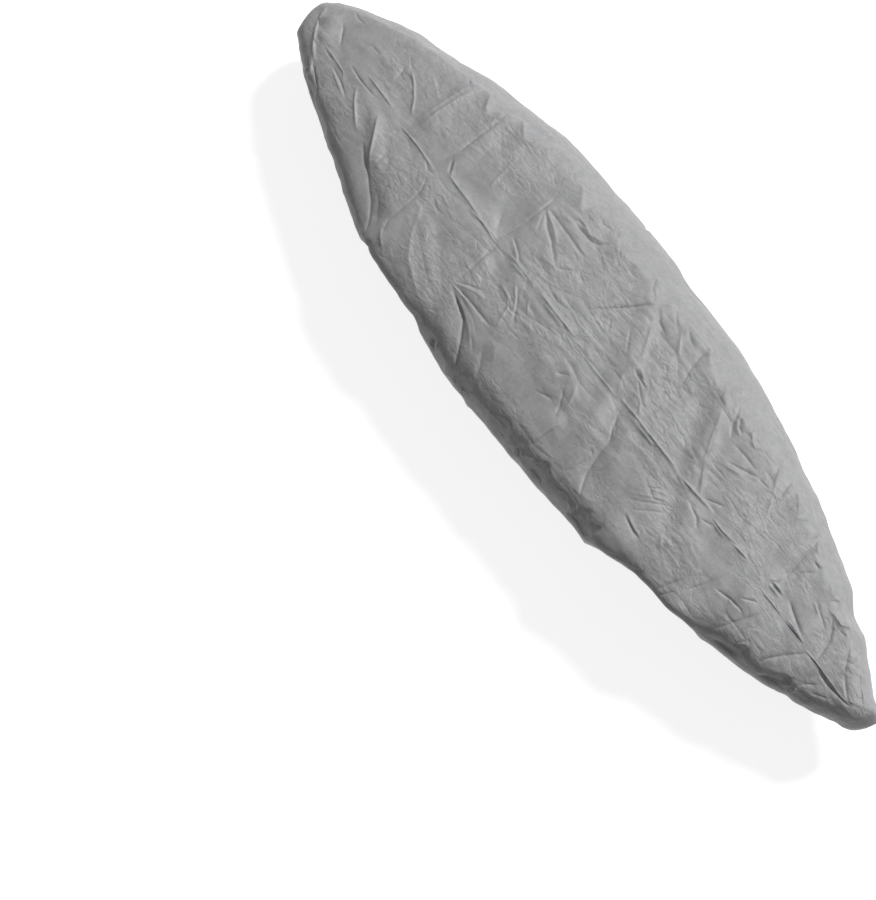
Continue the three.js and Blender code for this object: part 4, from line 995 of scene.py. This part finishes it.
def build_strap(name, x, low, tail_from, tail):
    """A strap's two strips of webbing, each with its real length in metres."""
    curve, place = strap_frame(name, low)
    points, widths = sewn_stops(name + "_short", x)
    path = short_path(place)
    points += [(x, y, z) for y, z in path]
    short = webbing_strip(name + "_short", points, widths + [(1, 0, 0)] * len(path))
    points, widths = sewn_stops(name + "_long", x)
    path = long_path(curve, place, points[-1][1], tail_from)
    free = tail_path(curve, x, tail_from, tail)
    ahead = np.gradient(np.concatenate([[(x, tail_from, 0)], free]), axis=0)[1:]
    points += [(x, y, z) for y, z in path] + [tuple(p) for p in free]
    widths += [(1, 0, 0)] * len(path) + [(-dy, dx, 0) for dx, dy, _ in ahead]
    return {"_short": short, "_long": webbing_strip(name + "_long", points, widths)}


class Graph:
    """A node tree, with short ways to add nodes and to link them."""

    def __init__(self, tree):
        self.tree = tree

    def fill(self, inputs, values):
        """Links inputs to outputs, or sets them to values."""
        for key, value in values.items():
            if isinstance(value, bpy.types.NodeSocket):
                self.tree.links.new(value, inputs[key])
            else:
                inputs[key].default_value = value

    def add(self, kind, inputs=None, **settings):
        """A new node's outputs."""
        node = self.tree.nodes.new("ShaderNode" + kind)
        for key, value in settings.items():
            setattr(node, key, value)
        self.fill(node.inputs, inputs or {})
        return node.outputs

    def math(self, operation, *values):
        return self.add("Math", dict(enumerate(values)), operation=operation)[0]

    def total(self, values):
        """The sum of several values."""
        total = values[0]
        for value in values[1:]:
            total = self.math("ADD", total, value)
        return total

    def noise(self, vector, scale, detail, **more):
        return self.add("TexNoise", {"Vector": vector, "Scale": scale, "Detail": detail, **more})["Fac"]

    def colours(self, value, *stops):
        """A ramp between two colours, each given with its place."""
        ramp = self.tree.nodes.new("ShaderNodeValToRGB")
        for element, (place, colour) in zip(ramp.color_ramp.elements, stops):
            element.position = place
            element.color = (*colour, 1)
        self.fill(ramp.inputs, {"Fac": value})
        return ramp.outputs["Color"]

    def bump(self, height, strength, distance, **more):
        inputs = {"Height": height, "Strength": strength, "Distance": distance, **more}
        return self.add("Bump", inputs)["Normal"]

    def uv(self, name):
        return self.add("UVMap", uv_map=name)["UV"]

    def parts(self, vector):
        """The x, y and z of a vector."""
        return tuple(self.add("SeparateXYZ", {0: vector}))


def new_material(name):
    """A material, its graph, and the inputs of its shader."""
    material = bpy.data.materials.new(name)
    material.use_nodes = True
    return material, Graph(material.node_tree), material.node_tree.nodes["Principled BSDF"].inputs


def surface(colour, roughness, specular, normal):
    """The inputs of a shader that are given for every piece."""
    names = ("Base Color", "Roughness", "Specular IOR Level", "Normal")
    return dict(zip(names, (colour, roughness, specular, normal)))


def wrinkle_height(graph, place, row, index):
    """Fine folds that run one way and come in patches: the sharp valleys where a stretched noise
    crosses its middle."""
    turn, stretch, scale, height, patches, bare = row
    settings = {
        "Vector": place,
        "Location": (1.7 * index, 0.9 * index, 0),
        "Rotation": (0, 0, math.radians(turn)),
        "Scale": (1 / stretch, 1, 1),
    }
    place = graph.add("Mapping", settings)["Vector"]
    away = graph.math("SUBTRACT", graph.noise(place, scale, 1.5, Distortion=0.35), 0.5)
    fold = graph.math("MINIMUM", graph.math("ABSOLUTE", away), FOLD_REACH)
    mask = graph.noise(place, patches, 2.0)
    patch = graph.add("MapRange", {"Value": mask, "From Min": bare, "From Max": bare + PATCH_EDGE})[0]
    return graph.math("MULTIPLY", fold, graph.math("MULTIPLY", patch, height / FOLD_REACH))


def pucker_height(graph):
    """The hem's fine uneven puckers, about 9 mm apart, which die away above the casing."""
    place = graph.add("Mapping", {"Vector": graph.uv("cloth"), "Scale": PUCKERS_PER_METRE})[0]
    share = graph.add("Attribute", attribute_name="hem")["Fac"]
    noise = graph.noise(place, 1.0, 1.0, Distortion=0.3)
    return graph.math("MULTIPLY", noise, graph.math("MULTIPLY", share, PUCKER_HEIGHT))


def cloth_material():
    """Grey coated oxford: a fine plain weave, small crinkles, and soft mottling."""
    material, graph, shader = new_material("grey_oxford")
    place = graph.add("TexCoord")["Object"]
    mottle = graph.noise(place, 40.0, 6.0, Roughness=0.85)
    dark, light = (0.318, 0.319, 0.326), (0.468, 0.469, 0.476)
    colour = graph.colours(mottle, (0.3, dark), (0.7, light))
    heights = [wrinkle_height(graph, place, row, i) for i, row in enumerate(WRINKLES)]
    grain = graph.noise(place, 190.0, 3.0, Roughness=0.8)
    heights += [pucker_height(graph), graph.math("MULTIPLY", grain, GRAIN_HEIGHT)]
    large = graph.bump(graph.total(heights), 1.0, 1.0)
    yarns = 2 * math.pi / YARN_PITCH
    round_rim, across, _ = graph.parts(graph.uv("cloth"))
    warp = graph.math("SINE", graph.math("MULTIPLY", round_rim, yarns))
    weft = graph.math("SINE", graph.math("MULTIPLY", across, yarns))
    weave = graph.math("MULTIPLY", warp, weft)
    normal = graph.bump(weave, 0.18, 0.0004, Normal=large)
    graph.fill(shader, surface(colour, 0.44, 0.5, normal))
    return material


def webbing_material():
    """Black woven webbing: slanted ribs across its width and a slightly worn, dusty face."""
    material, graph, shader = new_material("black_webbing")
    dust = graph.noise(graph.add("TexCoord")["Object"], 60.0, 4.0)
    dark, light = (0.008, 0.008, 0.0085), (0.02, 0.02, 0.021)
    colour = graph.colours(dust, (0.35, dark), (0.75, light))
    across, along, _ = graph.parts(graph.uv("webbing"))
    across = graph.math("MULTIPLY", across, 2 * math.pi / RIB_PITCH[0])
    along = graph.math("MULTIPLY", along, 2 * math.pi / RIB_PITCH[1])
    ribs = [graph.math("SINE", graph.math(way, across, along)) for way in ("ADD", "SUBTRACT")]
    normal = graph.bump(graph.math("MAXIMUM", *ribs), 0.7, 0.0006)
    graph.fill(shader, surface(colour, 0.82, 0.3, normal))
    return material


def buckle_material():
    """Black moulded plastic with a fine satin grain."""
    material, graph, shader = new_material("black_plastic")
    grain = graph.noise(graph.add("TexCoord")["Object"], 900.0, 3.0)
    dark, light = (0.010, 0.010, 0.011), (0.022, 0.022, 0.023)
    colour = graph.colours(grain, (0, dark), (1, light))
    rough = graph.add("MapRange", {"Value": grain, "To Min": 0.42, "To Max": 0.58})[0]
    normal = graph.bump(grain, 0.15, 0.0002)
    graph.fill(shader, surface(colour, rough, 0.3, normal))
    return material


def soften_edges(node, material):
    """A moulded part's material and its slightly rounded edges."""
    node.data.materials.clear()
    node.data.materials.append(material)
    bevel = node.modifiers.new("soft_edges", "BEVEL")
    bevel.width = 0.0004
    bevel.segments = 2
    bevel.limit_method = "ANGLE"
    bevel.angle_limit = math.radians(35)


def floor_material():
    """A plain near-white floor that lights itself a little, so its shadows stay pale."""
    material, graph, shader = new_material("pale_floor")
    graph.fill(shader, {"Base Color": (0.5, 0.5, 0.5, 1), "Roughness": 0.9})
    graph.fill(shader, {"Emission Color": (1, 1, 1, 1), "Emission Strength": 0.82})
    return material


def make_camera():
    """The photograph's view."""
    camera = add_object("camera", bpy.data.cameras.new("camera"))
    camera.data.lens = LENS
    camera.data.sensor_width = 36
    camera.data.clip_end = 100
    back = Vector(BACK)
    camera.location = Vector((SHIFT + TARGET) / PER_METRE) + back * DISTANCE
    camera.rotation_euler = back.to_track_quat("Z", "Y").to_euler()
    bpy.context.scene.camera = camera


def make_sun():
    """The main light, high behind the far side."""
    sun = add_object("key", bpy.data.lights.new("key", "SUN"))
    sun.data.energy = 2.65
    sun.data.angle = math.radians(12)
    toward = Vector((0.0, 0.72, 0.69)).normalized()
    sun.location = toward * 8
    sun.rotation_euler = toward.to_track_quat("Z", "Y").to_euler()


def make_floor():
    """A wide floor a little below the cover."""
    corners = np.array([(-1, -1, 0), (1, -1, 0), (1, 1, 0), (-1, 1, 0)]) * FLOOR_REACH
    floor = add_object("floor", new_mesh("floor", corners + (0, 0, FLOOR_Z), [(0, 1, 2, 3)]))
    floor.data.materials.append(floor_material())
    floor.visible_diffuse = False
    floor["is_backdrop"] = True


def make_world():
    """Soft light from all round, brighter above than below."""
    world = bpy.data.worlds.new("studio")
    world.use_nodes = True
    graph = Graph(world.node_tree)
    up = graph.parts(graph.add("TexCoord")["Generated"])[2]
    shade = graph.add("MapRange", {"Value": up, "From Min": -1.0, "To Min": 0.12, "To Max": 0.2})[0]
    background = world.node_tree.nodes["Background"]
    graph.fill(background.inputs, {"Color": (1, 1, 1, 1), "Strength": shade})
    bpy.context.scene.world = world


make_camera()
make_floor()
make_sun()
make_world()
bpy.context.scene.view_settings.view_transform = "Standard"

cloth = build_cloth()
cloth.data.materials.append(cloth_material())
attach(cloth, "root")
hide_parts("cover")

webbing, plastic = webbing_material(), buckle_material()
for name, x, low, tail_from, tail in STRAPS:
    for part, (strip, length) in build_strap(name, x, low, tail_from, tail).items():
        strip.data.materials.append(webbing)
        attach(strip, "root")
        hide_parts(name + part)
    for part in ("_socket", "_plug"):
        soften_edges(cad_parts[name + part], plastic)

low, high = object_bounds()
